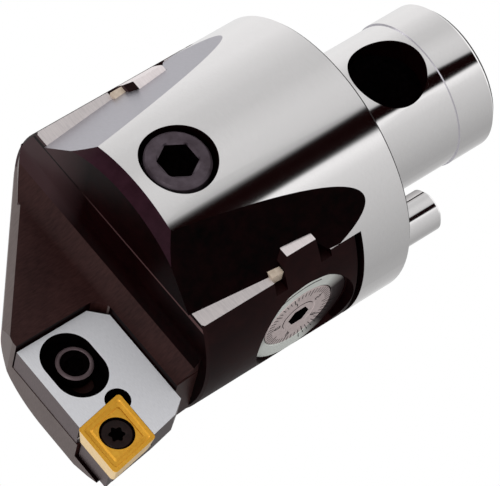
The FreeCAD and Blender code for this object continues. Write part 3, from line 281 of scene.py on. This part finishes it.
# A lighter copy of the nose's black, painted light on the nose faces that turn forward or to -X.
nose_front = grain_material(
    "nose_front", (78, 66, 64), (102, 91, 89), 0.4, 0.0, (5, 1, 1), 500.0, 0.1, 0.1, 0.5)
satin = grain_material(
    "satin_steel", (202, 202, 206), (218, 218, 222), 0.45, 0.2, (1, 1, 8), 900.0, 0.1)
satin_side = grain_material(
    "satin_side", (74, 63, 64), (94, 82, 83), 0.42, 1.0, (8, 1, 1), 900.0, 0.1)
gold = grain_material(
    "gold_nitride", (208, 146, 30), (226, 170, 52), 0.42, 0.55, EVEN, 1400.0, 0.1, 0.5, 0.4)
gold_flank = grain_material(
    "gold_flank", (218, 184, 128), (232, 204, 152), 0.4, 0.6, (1, 4, 1), 900.0, 0.1)
dark = grain_material(
    "dark_oxide", (48, 36, 40), (78, 66, 70), 0.4, 0.3, EVEN, 900.0, 0.12, 0.2, 0.5)
head_dark = grain_material(
    "head_oxide", (34, 20, 26), (92, 82, 90), 0.42, 0.3, EVEN, 420.0, 0.2, 0.2, 0.6)
dark_rim = grain_material(
    "dark_rim", (74, 60, 63), (100, 86, 89), 0.4, 0.3, EVEN, 900.0, 0.12, 0.2, 0.5)
dark_screw = grain_material(
    "dark_red_oxide", (12, 2, 1), (32, 12, 9), 0.35, 0.2, EVEN, 900.0, 0.1, 0.2, 0.5)
# Near black painted as shade in sockets, bores and recesses, and on the coupling pin inside the cross
# hole.
shade_black = grain_material("shade_black", (2, 1, 1), (8, 5, 6), 0.8, 0.0, EVEN, 900.0, 0.1, 0.0)
brass = grain_material("brass", (188, 169, 150), (212, 196, 178), 0.45, 0.2, (1, 8, 1), 900.0, 0.2)
dial_steel = grain_material(
    "dial_disc", (184, 169, 168), (200, 186, 184), 0.45, 0.6, EVEN, 1500.0, 0.04, 0.2)


def ring_material():
    """Satin ring whose colour is painted reflection: bright most of the way round, with one dark
    stretch, soft at both ends, towards the rear below.
    """
    mat, tree, bsdf = new_material("vernier_face_painted_reflection")
    place = place_parts(tree)
    rise = math_node(tree, "SUBTRACT", place["Z"], DIAL_PLACE * MM)
    share = turn_share(tree, place["Y"], rise)
    bright, middle, dim = srgb(208, 211, 206), srgb(150, 148, 145), srgb(42, 30, 31)
    # Painted reflection round the turn, angles in degrees: bright, mid and dark tones.
    painted_reflection_tones = (
        (0, middle), (40, bright), (128, bright), (146, middle), (158, dim), (226, dim),
        (243, middle), (256, bright), (330, bright), (359, middle))
    colour = ramp(tree, share, [(angle / 360.0, tone) for angle, tone in painted_reflection_tones])
    tree.links.new(colour, bsdf.inputs["Base Color"])
    fine = noise(tree, object_place(tree), 1500.0, 4.0, 0.6)
    tree.links.new(span(tree, fine, 0.36, 0.5), bsdf.inputs["Roughness"])
    bsdf.inputs["Metallic"].default_value = 0.6
    bsdf.inputs["Specular IOR Level"].default_value = 0.2
    bump(tree, bsdf, fine, 0.05, 0.00002)
    return mat


ring_steel = ring_material()
mark_black = grain_material(
    "engraved_black", (12, 10, 10), (26, 22, 22), 0.6, 0.0, EVEN, 1500.0, 0.05, 0.2)
rubber = grain_material(
    "black_rubber", (18, 18, 18), (30, 30, 30), 0.7, 0.0, EVEN, 1500.0, 0.1, 0.2)


# Mesh helpers, in millimetres.

TO_Y = Matrix.Rotation(math.radians(-90), 4, "X")
TO_X = Matrix.Rotation(math.radians(90), 4, "Y")


def finish_piece(name, bm, mats, body, replaced=(), sharp=30.0):
    """Makes the object from a mesh in millimetres, in the part's frame."""
    bmesh.ops.remove_doubles(bm, verts=bm.verts, dist=1e-5)
    bmesh.ops.recalc_face_normals(bm, faces=bm.faces)
    bmesh.ops.scale(bm, vec=(MM, MM, MM), verts=bm.verts)
    mesh = bpy.data.meshes.new(name)
    bm.to_mesh(mesh)
    bm.free()
    obj = bpy.data.objects.new(name, mesh)
    bpy.context.scene.collection.objects.link(obj)
    for mat in mats:
        mesh.materials.append(mat)
    mesh.shade_smooth()
    mesh.set_sharp_from_angle(angle=math.radians(sharp))
    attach(obj, body)
    if replaced:
        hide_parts(*replaced)
    return obj


def bridge(bm, lower, upper, material=0):
    """Quads between two closed loops of the same length."""
    count = len(lower)
    for i in range(count):
        j = (i + 1) % count
        try:
            face = bm.faces.new((lower[i], lower[j], upper[j], upper[i]))
            face.material_index = material
        except ValueError:
            pass


def ring_of(bm, points):
    return [bm.verts.new(p) for p in points]


def skin(bm, loops, materials=None, cap_first=True, cap_last=True):
    """Closed shape through loops of points; materials gives one index for each strip."""
    rings = [ring_of(bm, loop) for loop in loops]
    for k in range(len(rings) - 1):
        bridge(bm, rings[k], rings[k + 1], materials[k] if materials else 0)
    if cap_first:
        face = bm.faces.new(rings[0])
        face.material_index = materials[0] if materials else 0
    if cap_last:
        face = bm.faces.new(rings[-1])
        face.material_index = materials[-1] if materials else 0


def circle_points(radius, level, count=96):
    angles = [2 * math.pi * i / count for i in range(count)]
    return [(radius * math.cos(a), radius * math.sin(a), level) for a in angles]


def hex_points(across, level, count=96, fluted=False):
    """Hexagon, or six-lobed socket, sampled at the same angles as a circle."""
    points = []
    for i in range(count):
        a = 2 * math.pi * i / count
        if fluted:
            reach = across / 2 * (0.87 + 0.13 * math.cos(6 * a))
        else:
            local = (a + math.pi / 6) % (math.pi / 3) - math.pi / 6
            reach = across / 2 / math.cos(local)
        points.append((reach * math.cos(a), reach * math.sin(a), level))
    return points


def lathe_loops(profile, count=96):
    return [circle_points(radius, level, count) for radius, level in profile]


def thread_profile(radius, depth, low, high, pitch):
    """Radii and levels of a plain thread look: a fine zigzag along the axis."""
    profile = []
    steps = max(2, int((high - low) / pitch * 2))
    for i in range(steps + 1):
        level = low + (high - low) * i / steps
        profile.append((radius - (depth if i % 2 else 0.0), level))
    return profile


def placed(bm, matrix, x=0.0, y=0.0, z=0.0):
    bmesh.ops.transform(bm, matrix=Matrix.Translation((x, y, z)) @ matrix, verts=bm.verts)


# The solid pieces: true round normals, and a finish for each kind of face.

def smooth_normals(obj):
    """Round faces shade round, flat faces flat, with the solid's own corners kept sharp."""
    mesh = obj.data
    mesh.shade_smooth()
    mesh.set_sharp_from_angle(angle=math.radians(CORNER_ANGLE))
    weighted = obj.modifiers.new("weighted", "WEIGHTED_NORMAL")
    weighted.keep_sharp = True
    weighted.weight = 100


def paint(obj, mats, rule):
    """Sets each face's finish by rule(centre, normal) in millimetres."""
    mesh = obj.data
    mesh.materials.clear()
    for mat in mats:
        mesh.materials.append(mat)
    for face in mesh.polygons:
        face.material_index = rule(face.center / MM, face.normal)


def flat_normal(side):
    """Outward normal of a side flat, +1 on the +X side."""
    turn = math.radians(FLAT_ANGLE) * side
    return Vector((math.sin(turn), math.cos(turn), FLAT_SLOPE)).normalized()


def body_rule(c, n):
    """Ground outside, spigot and rear face; bright left flat; black front, right flat and bores, the
    black of the front face and the bores being painted shade.
    """
    r = math.hypot(c.x, c.y)
    radial = (n.x * c.x + n.y * c.y) / max(r, 1e-6)
    if n.dot(flat_normal(-1)) > SAME_WAY:
        return 2
    if n.dot(flat_normal(1)) > SAME_WAY:
        return 1
    if c.z < 0.6:
        on_spigot = abs(r - SPIGOT_R) < 0.6
        # Painted shade: the relief's forward step on the spigot takes the grey flat finish, so it does
        # not mirror the white world as a bright line.
        if on_spigot and c.z > SPIGOT_END + 1.0 and n.z > 0.9:
            return 2
        spigot_wall = on_spigot and (radial > 0.6 or c.z > SPIGOT_END + 1.0)
        # The rest at the rear is black, the cross hole's wall among it as painted shade.
        return 0 if spigot_wall or n.z < -0.99 and c.z > -1 else 1
    # The front chamfer's dark finish is painted shade.
    if c.z > CHAMFER_START - 0.2 and 0.4 < n.z < 0.9 and radial > 0.3:
        return 3
    if r > BODY_R - 0.4 and radial > 0.9 and c.z < CHAMFER_START + 0.05:
        return 0
    # Everything else is black; on the front face and in the bores it is painted shade.
    return 1


def slide_rule(c, n):
    """Ground guide faces and key; black front, hollows and pocket, whose darkest black is painted
    shade; lighter slanted nose sides, a lighter copy of the nose's black painted as light.
    """
    if n.y > 0.98 and abs(c.y - GUIDE_LEVEL) < 0.05:
        return 1
    key_end = math.hypot(c.x, c.y) > BODY_R - 1.0 and c.x < 0 and c.y > GUIDE_LEVEL
    if n.y > 0.98 and abs(c.y - KEY_TOP) < 0.05 or key_end and abs(n.z) < 0.1:
        return 5
    # Painted shade: the darkest black on the hollows and the slide's front.
    if n.z > 0.77 and abs(n.x) < 0.1 and (c.y > NOSE_TOP or c.z < POCKET_END):
        return 4
    if c.z > SLIDE_FRONT + 0.5:
        # Painted shade: the pocket's walls take the darkest black too.
        pocket = n.x > 0.95 and c.x < CAP_CENTRE[0] or n.y > 0.9 and c.y < POCKET_DEPTH
        if pocket:
            return 4
        # Painted light: the lighter copy of the nose's black on faces turning forward or to -X.
        return 3 if n.z > 0.4 and (n.x < -0.4 or n.z > 0.95) else 2
    return 0


def sunk(c, n, place, reach):
    """Whether a face is the floor or the wall of a recess round a place in X and Z."""
    x, z = c.x - place[0], c.z - place[1]
    inside = c.y < -0.05 and math.hypot(x, z) < reach
    return inside and (n.y > 0.9 or x * n.x + z * n.z < 0.0)


def cartridge_rule(c, n):
    """Satin top, darker sides, and recesses painted near black as shade."""
    if sunk(c, n, CAP_RECESS, CAP_RECESS_REACH) or sunk(c, n, SEAT_RELIEF, SEAT_RELIEF_R):
        return 2
    return 0 if n.y > 0.5 else 1


def screw_end_rule(c, n):
    """The micrometer screw: its end face matches the dial, and its socket is painted near black as
    shade.
    """
    if c.x > DIAL_FACE - 0.05 and n.x > 0.9:
        return 1
    in_socket = math.hypot(c.y, c.z - DIAL_PLACE) < FEED_SOCKET_REACH
    return 2 if in_socket and c.x > DIAL_FACE - FEED_SOCKET_DEPTH else 0


for node in nodes.values():
    smooth_normals(node)

paint(nodes["body"], [ground, black, flat_steel, black_edge], body_rule)
paint(nodes["slide"], [black_slide, ground_face, black_nose, nose_front, black, key_face], slide_rule)
paint(nodes["cartridge"], [satin, satin_side, shade_black], cartridge_rule)
paint(nodes["micrometer_screw"], [dark, dial_steel, shade_black], screw_end_rule)

SIMPLE = {
    "lock_washer": black,
    "clamp_nut": black,
    "gib_strip": brass,
    "gib_screws": dark,
    "spindle_seal": rubber,
    "thrust_washers": satin,
    "spindle_bush": brass,
    "anchor_nut": satin,
    "anchor_set_screw": dark,
    "travel_stop_pin": satin,
    "drive_pin": ground,
    # Painted shade: the coupling pin is near black as the shade inside the cross hole.
    "coupling_pin": shade_black,
    "coupling_pin_screw": dark,
}
for name, mat in SIMPLE.items():
    paint(nodes[name], [mat], lambda c, n: 0)


# The insert: coated rhombus with a land, a chip groove, an island and a countersunk bore.

def rhombus_loop(inset, level, corner, side_steps=10, corner_steps=5):
    """Rounded rhombus at a level, moved inwards by the inset, always with the same count of points."""
    half = INSERT_CIRCLE / 2 - inset
    lean = math.radians(INSERT_LEAN)
    length = half / math.cos(lean)
    corners = []
    for su, sv in ((-1, -1), (1, -1), (1, 1), (-1, 1)):
        u = su * length + sv * half * math.tan(lean)
        corners.append(Vector((u, sv * half)))
    points = []
    for k in range(4):
        here, before, after = corners[k], corners[k - 1], corners[(k + 1) % 4]
        to_before = (before - here).normalized()
        to_after = (after - here).normalized()
        angle = to_before.angle(to_after)
        back = corner / math.tan(angle / 2)
        start = here + to_before * back
        end = here + to_after * back
        middle = here + (to_before + to_after).normalized() * (corner / math.sin(angle / 2))
        a0 = math.atan2(start.y - middle.y, start.x - middle.x)
        a1 = math.atan2(end.y - middle.y, end.x - middle.x)
        while a1 < a0:
            a1 += 2 * math.pi
        for i in range(corner_steps + 1):
            a = a0 + (a1 - a0) * i / corner_steps
            points.append((middle.x + corner * math.cos(a), middle.y + corner * math.sin(a)))
        following = corners[(k + 1) % 4]
        angle_next = (here - following).angle(corners[(k + 2) % 4] - following)
        stop = following + (here - following).normalized() * (corner / math.tan(angle_next / 2))
        for i in range(1, side_steps):
            p = end.lerp(stop, i / side_steps)
            points.append((p.x, p.y))
    return [(INSERT_CENTRE[0] + u, level, INSERT_CENTRE[1] + v) for u, v in points]


def round_loop_like(loop, radius, level):
    """Circle about the insert's centre at the angles of another loop's points."""
    points = []
    for x, _, z in loop:
        a = math.atan2(z - INSERT_CENTRE[1], x - INSERT_CENTRE[0])
        u, v = radius * math.cos(a), radius * math.sin(a)
        points.append((INSERT_CENTRE[0] + u, level, INSERT_CENTRE[1] + v))
    return points


def make_insert():
    taper = INSERT_T * math.tan(math.radians(INSERT_CLEARANCE))
    bm = bmesh.new()
    outer = rhombus_loop(0.0, 0.0, INSERT_CORNER)
    loops = [
        round_loop_like(outer, INSERT_BORE, -INSERT_T),
        rhombus_loop(taper, -INSERT_T, INSERT_CORNER),
        rhombus_loop(0.05, -0.4, INSERT_CORNER),
        rhombus_loop(0.0, -0.05, INSERT_CORNER),
        rhombus_loop(0.05, 0.0, 0.78),
        rhombus_loop(0.85, -0.05, 0.6),
        rhombus_loop(1.1, -0.3, 0.5),
        rhombus_loop(1.9, -0.42, 0.4),
        rhombus_loop(2.3, -0.1, 0.5),
        round_loop_like(outer, 3.9, -0.1),
        round_loop_like(outer, 3.75, -0.25),
        round_loop_like(outer, INSERT_BORE, -2.25),
        round_loop_like(outer, INSERT_BORE, -INSERT_T),
    ]
    kinds = [0, 1, 1, 0, 0, 0, 0, 0, 0, 2, 2, 2]
    skin(bm, loops, kinds, False, False)
    # The countersunk bore is painted near black as shade.
    mats = [gold, gold_flank, shade_black]
    finish_piece("insert_coated", bm, mats, "cartridge_unit", ["insert"], 24.0)


make_insert()


def make_insert_screw():
    bm = bmesh.new()
    top, head, shank = -0.35, 3.5, 2.45
    loops = [
        circle_points(0.4, top - 1.9),
        hex_points(3.2, top - 1.9, fluted=True),
        hex_points(3.7, top - 0.1, fluted=True),
        circle_points(2.1, top),
        circle_points(head - 0.2, top),
        circle_points(head, top - 0.2),
        circle_points(shank, top - 2.3),
    ]
    loops += lathe_loops(thread_profile(shank, 0.22, -2.95, -10.0, -0.4))
    loops.append(circle_points(2.0, -10.2))
    kinds = [1, 1, 0] + [0] * (len(loops) - 4)
    skin(bm, loops, kinds)
    placed(bm, TO_Y, x=INSERT_CENTRE[0], z=INSERT_CENTRE[1])
    # The lobed socket is painted near black as shade.
    mats = [dark_screw, shade_black]
    finish_piece("insert_screw_lobed", bm, mats, "insert_screw", ["insert_screw"])


make_insert_screw()


def make_cap_screw():
    bm = bmesh.new()
    loops = [
        circle_points(0.5, CAP_TOP - 2.4),
        hex_points(CAP_SOCKET, CAP_TOP - 2.2),
        hex_points(CAP_SOCKET, CAP_TOP - 0.95),
        circle_points(2.6, CAP_TOP - 0.85),
        circle_points(3.25, CAP_TOP - 0.12),
        circle_points(3.45, CAP_TOP),
        circle_points(3.85, CAP_TOP),
        circle_points(CAP_R, CAP_TOP - 0.3),
        circle_points(CAP_R, CAP_SEAT),
        circle_points(CAP_SHANK, CAP_SEAT),
    ]
    loops += lathe_loops(thread_profile(CAP_SHANK, 0.25, CAP_SEAT - 0.1, CAP_END, -0.4))
    kinds = [1, 1, 1, 1, 0, 0, 0, 1] + [0] * (len(loops) - 9)
    skin(bm, loops, kinds)
    placed(bm, TO_Y, x=CAP_CENTRE[0], z=CAP_CENTRE[1])
    # The socket, the hollow round it and the head's side are painted near black as shade.
    mats = [dark_rim, shade_black]
    finish_piece("cap_screw", bm, mats, "cartridge_screw", ["cartridge_screw"])


make_cap_screw()


# The dial: disc with its divisions and numbers, and the fixed ring round it with its marks.

def dial_point(radius, angle, lift):
    """A point on the dial's face. Angles run from +Z round the X axis."""
    return (DIAL_FACE + lift, radius * math.sin(angle), DIAL_PLACE + radius * math.cos(angle))


def bar(bm, r0, r1, angle, width, low, high):
    """Thin raised mark along a radius."""
    corners = []
    for radius in (r0, r1):
        half = width / 2 / radius
        corners.append((radius, angle - half))
        corners.append((radius, angle + half))
    order = (0, 1, 3, 2)
    lower = [bm.verts.new(dial_point(*corners[k], low)) for k in order]
    upper = [bm.verts.new(dial_point(*corners[k], high)) for k in order]
    bridge(bm, lower, upper)
    bm.faces.new(upper)
    bm.faces.new(lower)


def arc_band(bm, radius, width, a0, a1, steps, low, high):
    rings = []
    inner, outer = radius - width / 2, radius + width / 2
    corners = ((inner, low), (outer, low), (outer, high), (inner, high))
    for i in range(steps + 1):
        a = a0 + (a1 - a0) * i / steps
        rings.append([bm.verts.new(dial_point(r, a, h)) for r, h in corners])
    for i in range(steps):
        bridge(bm, rings[i], rings[i + 1])
    bm.faces.new(rings[0])
    bm.faces.new(rings[-1])


SEGMENTS = {
    "0": "abcdef", "1": "bc", "2": "abged", "3": "abgcd", "4": "fgbc",
}
STROKES = {
    "a": ((0, 2), (1, 2)), "b": ((1, 2), (1, 1)), "c": ((1, 1), (1, 0)), "d": ((0, 0), (1, 0)),
    "e": ((0, 1), (0, 0)), "f": ((0, 2), (0, 1)), "g": ((0, 1), (1, 1)),
}


def stroke(bm, p, q, width, low, high, to_place):
    along = (q - p).normalized() * width / 2
    side = Vector((-along.y, along.x))
    corners = [p - along - side, q + along - side, q + along + side, p - along + side]
    lower = [bm.verts.new(to_place(c, low)) for c in corners]
    upper = [bm.verts.new(to_place(c, high)) for c in corners]
    bridge(bm, lower, upper)
    bm.faces.new(upper)
    bm.faces.new(lower)


def digit(bm, text, radius, angle, height, width, low, high):
    """A plain number on the dial, upright towards the rim."""
    def to_place(c, lift):
        u = c.x - 0.25 * height
        v = c.y - 0.5 * height
        local = Vector((u, v))
        r = radius + local.y
        return dial_point(r, angle + local.x / r, lift)
    for name in SEGMENTS[text]:
        a, b = STROKES[name]
        p = Vector((a[0] * height * 0.5, a[1] * height * 0.5))
        q = Vector((b[0] * height * 0.5, b[1] * height * 0.5))
        stroke(bm, p, q, width, low, high, to_place)


# The marks: how far they stand proud and reach down, their radii, widths and angles.
LIFT = 0.03
SUNK = -0.05
MARK_OUTER = 8.85
MARK_SHORT = (7.3, 0.18)
MARK_LONG = (6.6, 0.22)
NUMBER_R = 5.9
NUMBER_HEIGHT = 1.3
NUMBER_WIDTH = 0.22
RING_MARK_INNER = 9.5
RING_MARK_MIDDLE = 225
RING_MARK_STEP = 6.6
ARROW_R = 12.0
ARROW_WIDTH = 0.26
ARROW_TIP = 20
ARROW_TAIL = 110


def make_dial():
    bm = bmesh.new()
    face = DIAL_FACE
    back = face - DISC_DEPTH
    hub = HUB_R + 0.05
    profile = [
        (hub, back), (DIAL_R, back), (DIAL_R, face - 0.25), (DIAL_R - 0.2, face),
        (HUB_R + 0.35, face), (hub, face - 0.2), (hub, back),
    ]
    skin(bm, lathe_loops(profile, 128), None, False, False)
    placed(bm, TO_X, z=DIAL_PLACE)
    finish_piece("dial_disc", bm, [dial_steel], "spindle", ["graduated_dial"])

    bm = bmesh.new()
    low, step = face - 3.85, face - 1.95
    flange, bore, rim = FLANGE_BORE + 0.05, RING_BORE + 0.05, RING_R - 0.02
    profile = [
        (flange, low), (rim, low), (rim, face - 0.15), (RING_R - 0.2, face),
        (RING_BORE + 0.25, face - 0.05), (bore, face - 0.3), (bore, step),
        (flange, step), (flange, low),
    ]
    skin(bm, lathe_loops(profile, 160), None, False, False)
    placed(bm, TO_X, z=DIAL_PLACE)
    finish_piece("vernier_ring_face", bm, [ring_steel], "slide_unit", ["vernier_ring"])

    bm = bmesh.new()
    for k in range(DIVISIONS):
        angle = 2 * math.pi * k / DIVISIONS
        inner, width = MARK_LONG if k % 5 == 0 else MARK_SHORT
        bar(bm, inner, MARK_OUTER, angle, width, SUNK, LIFT)
    for k in range(5):
        angle = 2 * math.pi * k / 5
        digit(bm, str(k), NUMBER_R, angle, NUMBER_HEIGHT, NUMBER_WIDTH, SUNK, LIFT)
    finish_piece("dial_marks", bm, [mark_black], "spindle")

    bm = bmesh.new()
    for k in range(-5, 6):
        outer = 11.2 if k % 5 == 0 else 10.5
        angle = math.radians(RING_MARK_MIDDLE + k * RING_MARK_STEP)
        bar(bm, RING_MARK_INNER, outer, angle, MARK_SHORT[1], SUNK, LIFT)
    tip, tail = math.radians(ARROW_TIP), math.radians(ARROW_TAIL)
    arc_band(bm, ARROW_R, ARROW_WIDTH, tip, tail, 40, SUNK, LIFT)
    corners = ((ARROW_R, tip - 0.2), (ARROW_R + 0.6, tip + 0.02), (ARROW_R - 0.6, tip + 0.02))
    head = [bm.verts.new(dial_point(r, a, h)) for h in (SUNK, LIFT) for r, a in corners]
    bridge(bm, head[:3], head[3:])
    bm.faces.new(head[3:])
    bm.faces.new(head[:3])
    finish_piece("vernier_marks", bm, [mark_black], "slide_unit")


make_dial()


# The lock screw: a low cap head with a hexagon socket.

def make_lock_screw():
    bm = bmesh.new()
    loops = [
        circle_points(0.8, LOCK_TOP - 4.8),
        hex_points(LOCK_SOCKET, LOCK_TOP - 4.5),
        hex_points(LOCK_SOCKET, LOCK_TOP - 0.5),
        circle_points(4.75, LOCK_TOP),
        circle_points(LOCK_R - 0.6, LOCK_TOP),
        circle_points(LOCK_R, LOCK_TOP - 0.6),
        circle_points(LOCK_R, LOCK_SEAT),
        circle_points(LOCK_SHANK, LOCK_SEAT),
        circle_points(LOCK_SHANK, LOCK_THREAD),
    ]
    loops += lathe_loops(thread_profile(LOCK_SHANK, 0.4, LOCK_THREAD - 0.1, LOCK_END, -0.75))
    kinds = [1, 1, 0, 0] + [0] * (len(loops) - 5)
    skin(bm, loops, kinds)
    placed(bm, TO_Y @ Matrix.Rotation(math.radians(30), 4, "Z"), z=LOCK_PLACE)
    # The hexagon socket is painted near black as shade.
    mats = [head_dark, shade_black]
    finish_piece("lock_screw_head", bm, mats, "lock_screw", ["lock_screw"])


make_lock_screw()


# Camera, world and lamps. The camera's place and lens are in millimetres.

CAMERA_PLACE = (300.88239045, 709.25932483, 402.48372464)
CAMERA_RIGHT = (0.61976217, 0.15478432, -0.7693742)
CAMERA_DOWN = (0.70756765, -0.53427859, 0.4624872)
CAMERA_FORWARD = (-0.3394744, -0.83101637, -0.44064604)
LENS = 281.3484
SENSOR = 36.0
LAMP_AIM = (0, 0, 0.04)


def make_camera():
    camera = bpy.data.cameras.new("camera")
    camera.lens = LENS
    camera.sensor_width = SENSOR
    camera.sensor_fit = "HORIZONTAL"
    camera.clip_start = 0.05
    camera.clip_end = 50.0
    obj = bpy.data.objects.new("camera", camera)
    right = Vector(CAMERA_RIGHT).normalized()
    down = Vector(CAMERA_DOWN).normalized()
    forward = Vector(CAMERA_FORWARD).normalized()
    rotation = Matrix((right, -down, -forward)).transposed().to_4x4()
    obj.matrix_world = Matrix.Translation(Vector(CAMERA_PLACE) * MM) @ rotation
    bpy.context.scene.collection.objects.link(obj)
    bpy.context.scene.camera = obj


def make_world():
    world = bpy.data.worlds.new("studio")
    world.use_nodes = True
    tree = world.node_tree
    tree.nodes.clear()
    out = tree.nodes.new("ShaderNodeOutputWorld")
    soft = add(tree, "ShaderNodeBackground", Color=(1, 1, 1, 1), Strength=0.75)
    white = add(tree, "ShaderNodeBackground", Color=(1, 1, 1, 1), Strength=1.0)
    mix = tree.nodes.new("ShaderNodeMixShader")
    path = tree.nodes.new("ShaderNodeLightPath")
    ray = path.outputs
    seen = math_node(tree, "MAXIMUM", ray["Is Camera Ray"], ray["Is Glossy Ray"])
    clear = math_node(tree, "MAXIMUM", seen, ray["Is Transmission Ray"])
    tree.links.new(clear, mix.inputs["Fac"])
    tree.links.new(soft.outputs[0], mix.inputs[1])
    tree.links.new(white.outputs[0], mix.inputs[2])
    tree.links.new(mix.outputs[0], out.inputs["Surface"])
    bpy.context.scene.world = world


def lamp(name, place, target, size, power):
    data = bpy.data.lights.new(name, "AREA")
    data.shape = "RECTANGLE"
    data.size = size[0]
    data.size_y = size[1]
    data.energy = power
    obj = bpy.data.objects.new(name, data)
    obj.location = place
    obj.rotation_mode = "QUATERNION"
    obj.rotation_quaternion = (Vector(target) - Vector(place)).to_track_quat("-Z", "Y")
    bpy.context.scene.collection.objects.link(obj)


# What the ground faces mirror, from the lock screw's side through the dial's side: the side
# that a cylinder's wall faces there, in degrees, and how bright it looks.
MIRRORED = (
    (-68, 212), (-60, 219), (-45, 227), (-30, 224), (-20, 208), (-12, 196), (-5, 193), (0, 200),
    (6, 205), (12, 201), (16, 193), (17.6, 184), (18.8, 60), (19.6, 12), (26.2, 12), (27.2, 44),
    (27.9, 150), (28.7, 228), (30, 236), (35, 210), (40, 200), (50, 189), (60, 178), (70, 167),
    (80, 159), (90, 163), (100, 182), (107, 203), (112, 212),
)
DARK_SIDE = (19, 27)
VIEW_SIDE = 22.2
STEEL_SHARE = 0.86
BAND_R = 3.0
BAND_LEVELS = (-3.8, -0.35)


def band_material():
    """Glow that changes with the direction round the Z axis."""
    mat = bpy.data.materials.new("studio_band")
    mat.use_nodes = True
    tree = mat.node_tree
    tree.nodes.clear()
    out = tree.nodes.new("ShaderNodeOutputMaterial")
    place = place_parts(tree)
    low = 2 * MIRRORED[0][0] - VIEW_SIDE
    share = turn_share(tree, place["X"], place["Y"], math.radians(low))
    stops = []
    for side, level in MIRRORED:
        turned = (2 * side - VIEW_SIDE - low) / 360.0
        dim = DARK_SIDE[0] < side < DARK_SIDE[1]
        colour = srgb(level, 0, 0) if dim else srgb(level, level, level)
        stops.append((turned, tuple(c / STEEL_SHARE for c in colour)))
    glow = add(tree, "ShaderNodeEmission", Strength=1.0)
    tree.links.new(ramp(tree, share, stops), glow.inputs["Color"])
    tree.links.new(glow.outputs[0], out.inputs["Surface"])
    return mat


def make_band():
    """Open drum round the head that only mirrors see."""
    bm = bmesh.new()
    rings = [ring_of(bm, circle_points(BAND_R, level, 128)) for level in BAND_LEVELS]
    bridge(bm, rings[0], rings[1])
    mesh = bpy.data.meshes.new("studio_band")
    bm.to_mesh(mesh)
    bm.free()
    mesh.materials.append(band_material())
    obj = bpy.data.objects.new("studio_band", mesh)
    bpy.context.scene.collection.objects.link(obj)
    obj.visible_camera = False
    obj.visible_diffuse = False
    obj.visible_shadow = False
    obj.visible_transmission = False


make_camera()
make_world()
lamp("key", (0.5, 1.2, 1.6), LAMP_AIM, (1.0, 1.0), 9.0)
lamp("side", (-1.6, 0.6, 0.4), LAMP_AIM, (0.8, 1.2), 5.0)

make_band()

scene = bpy.context.scene
scene.view_settings.view_transform = "Standard"
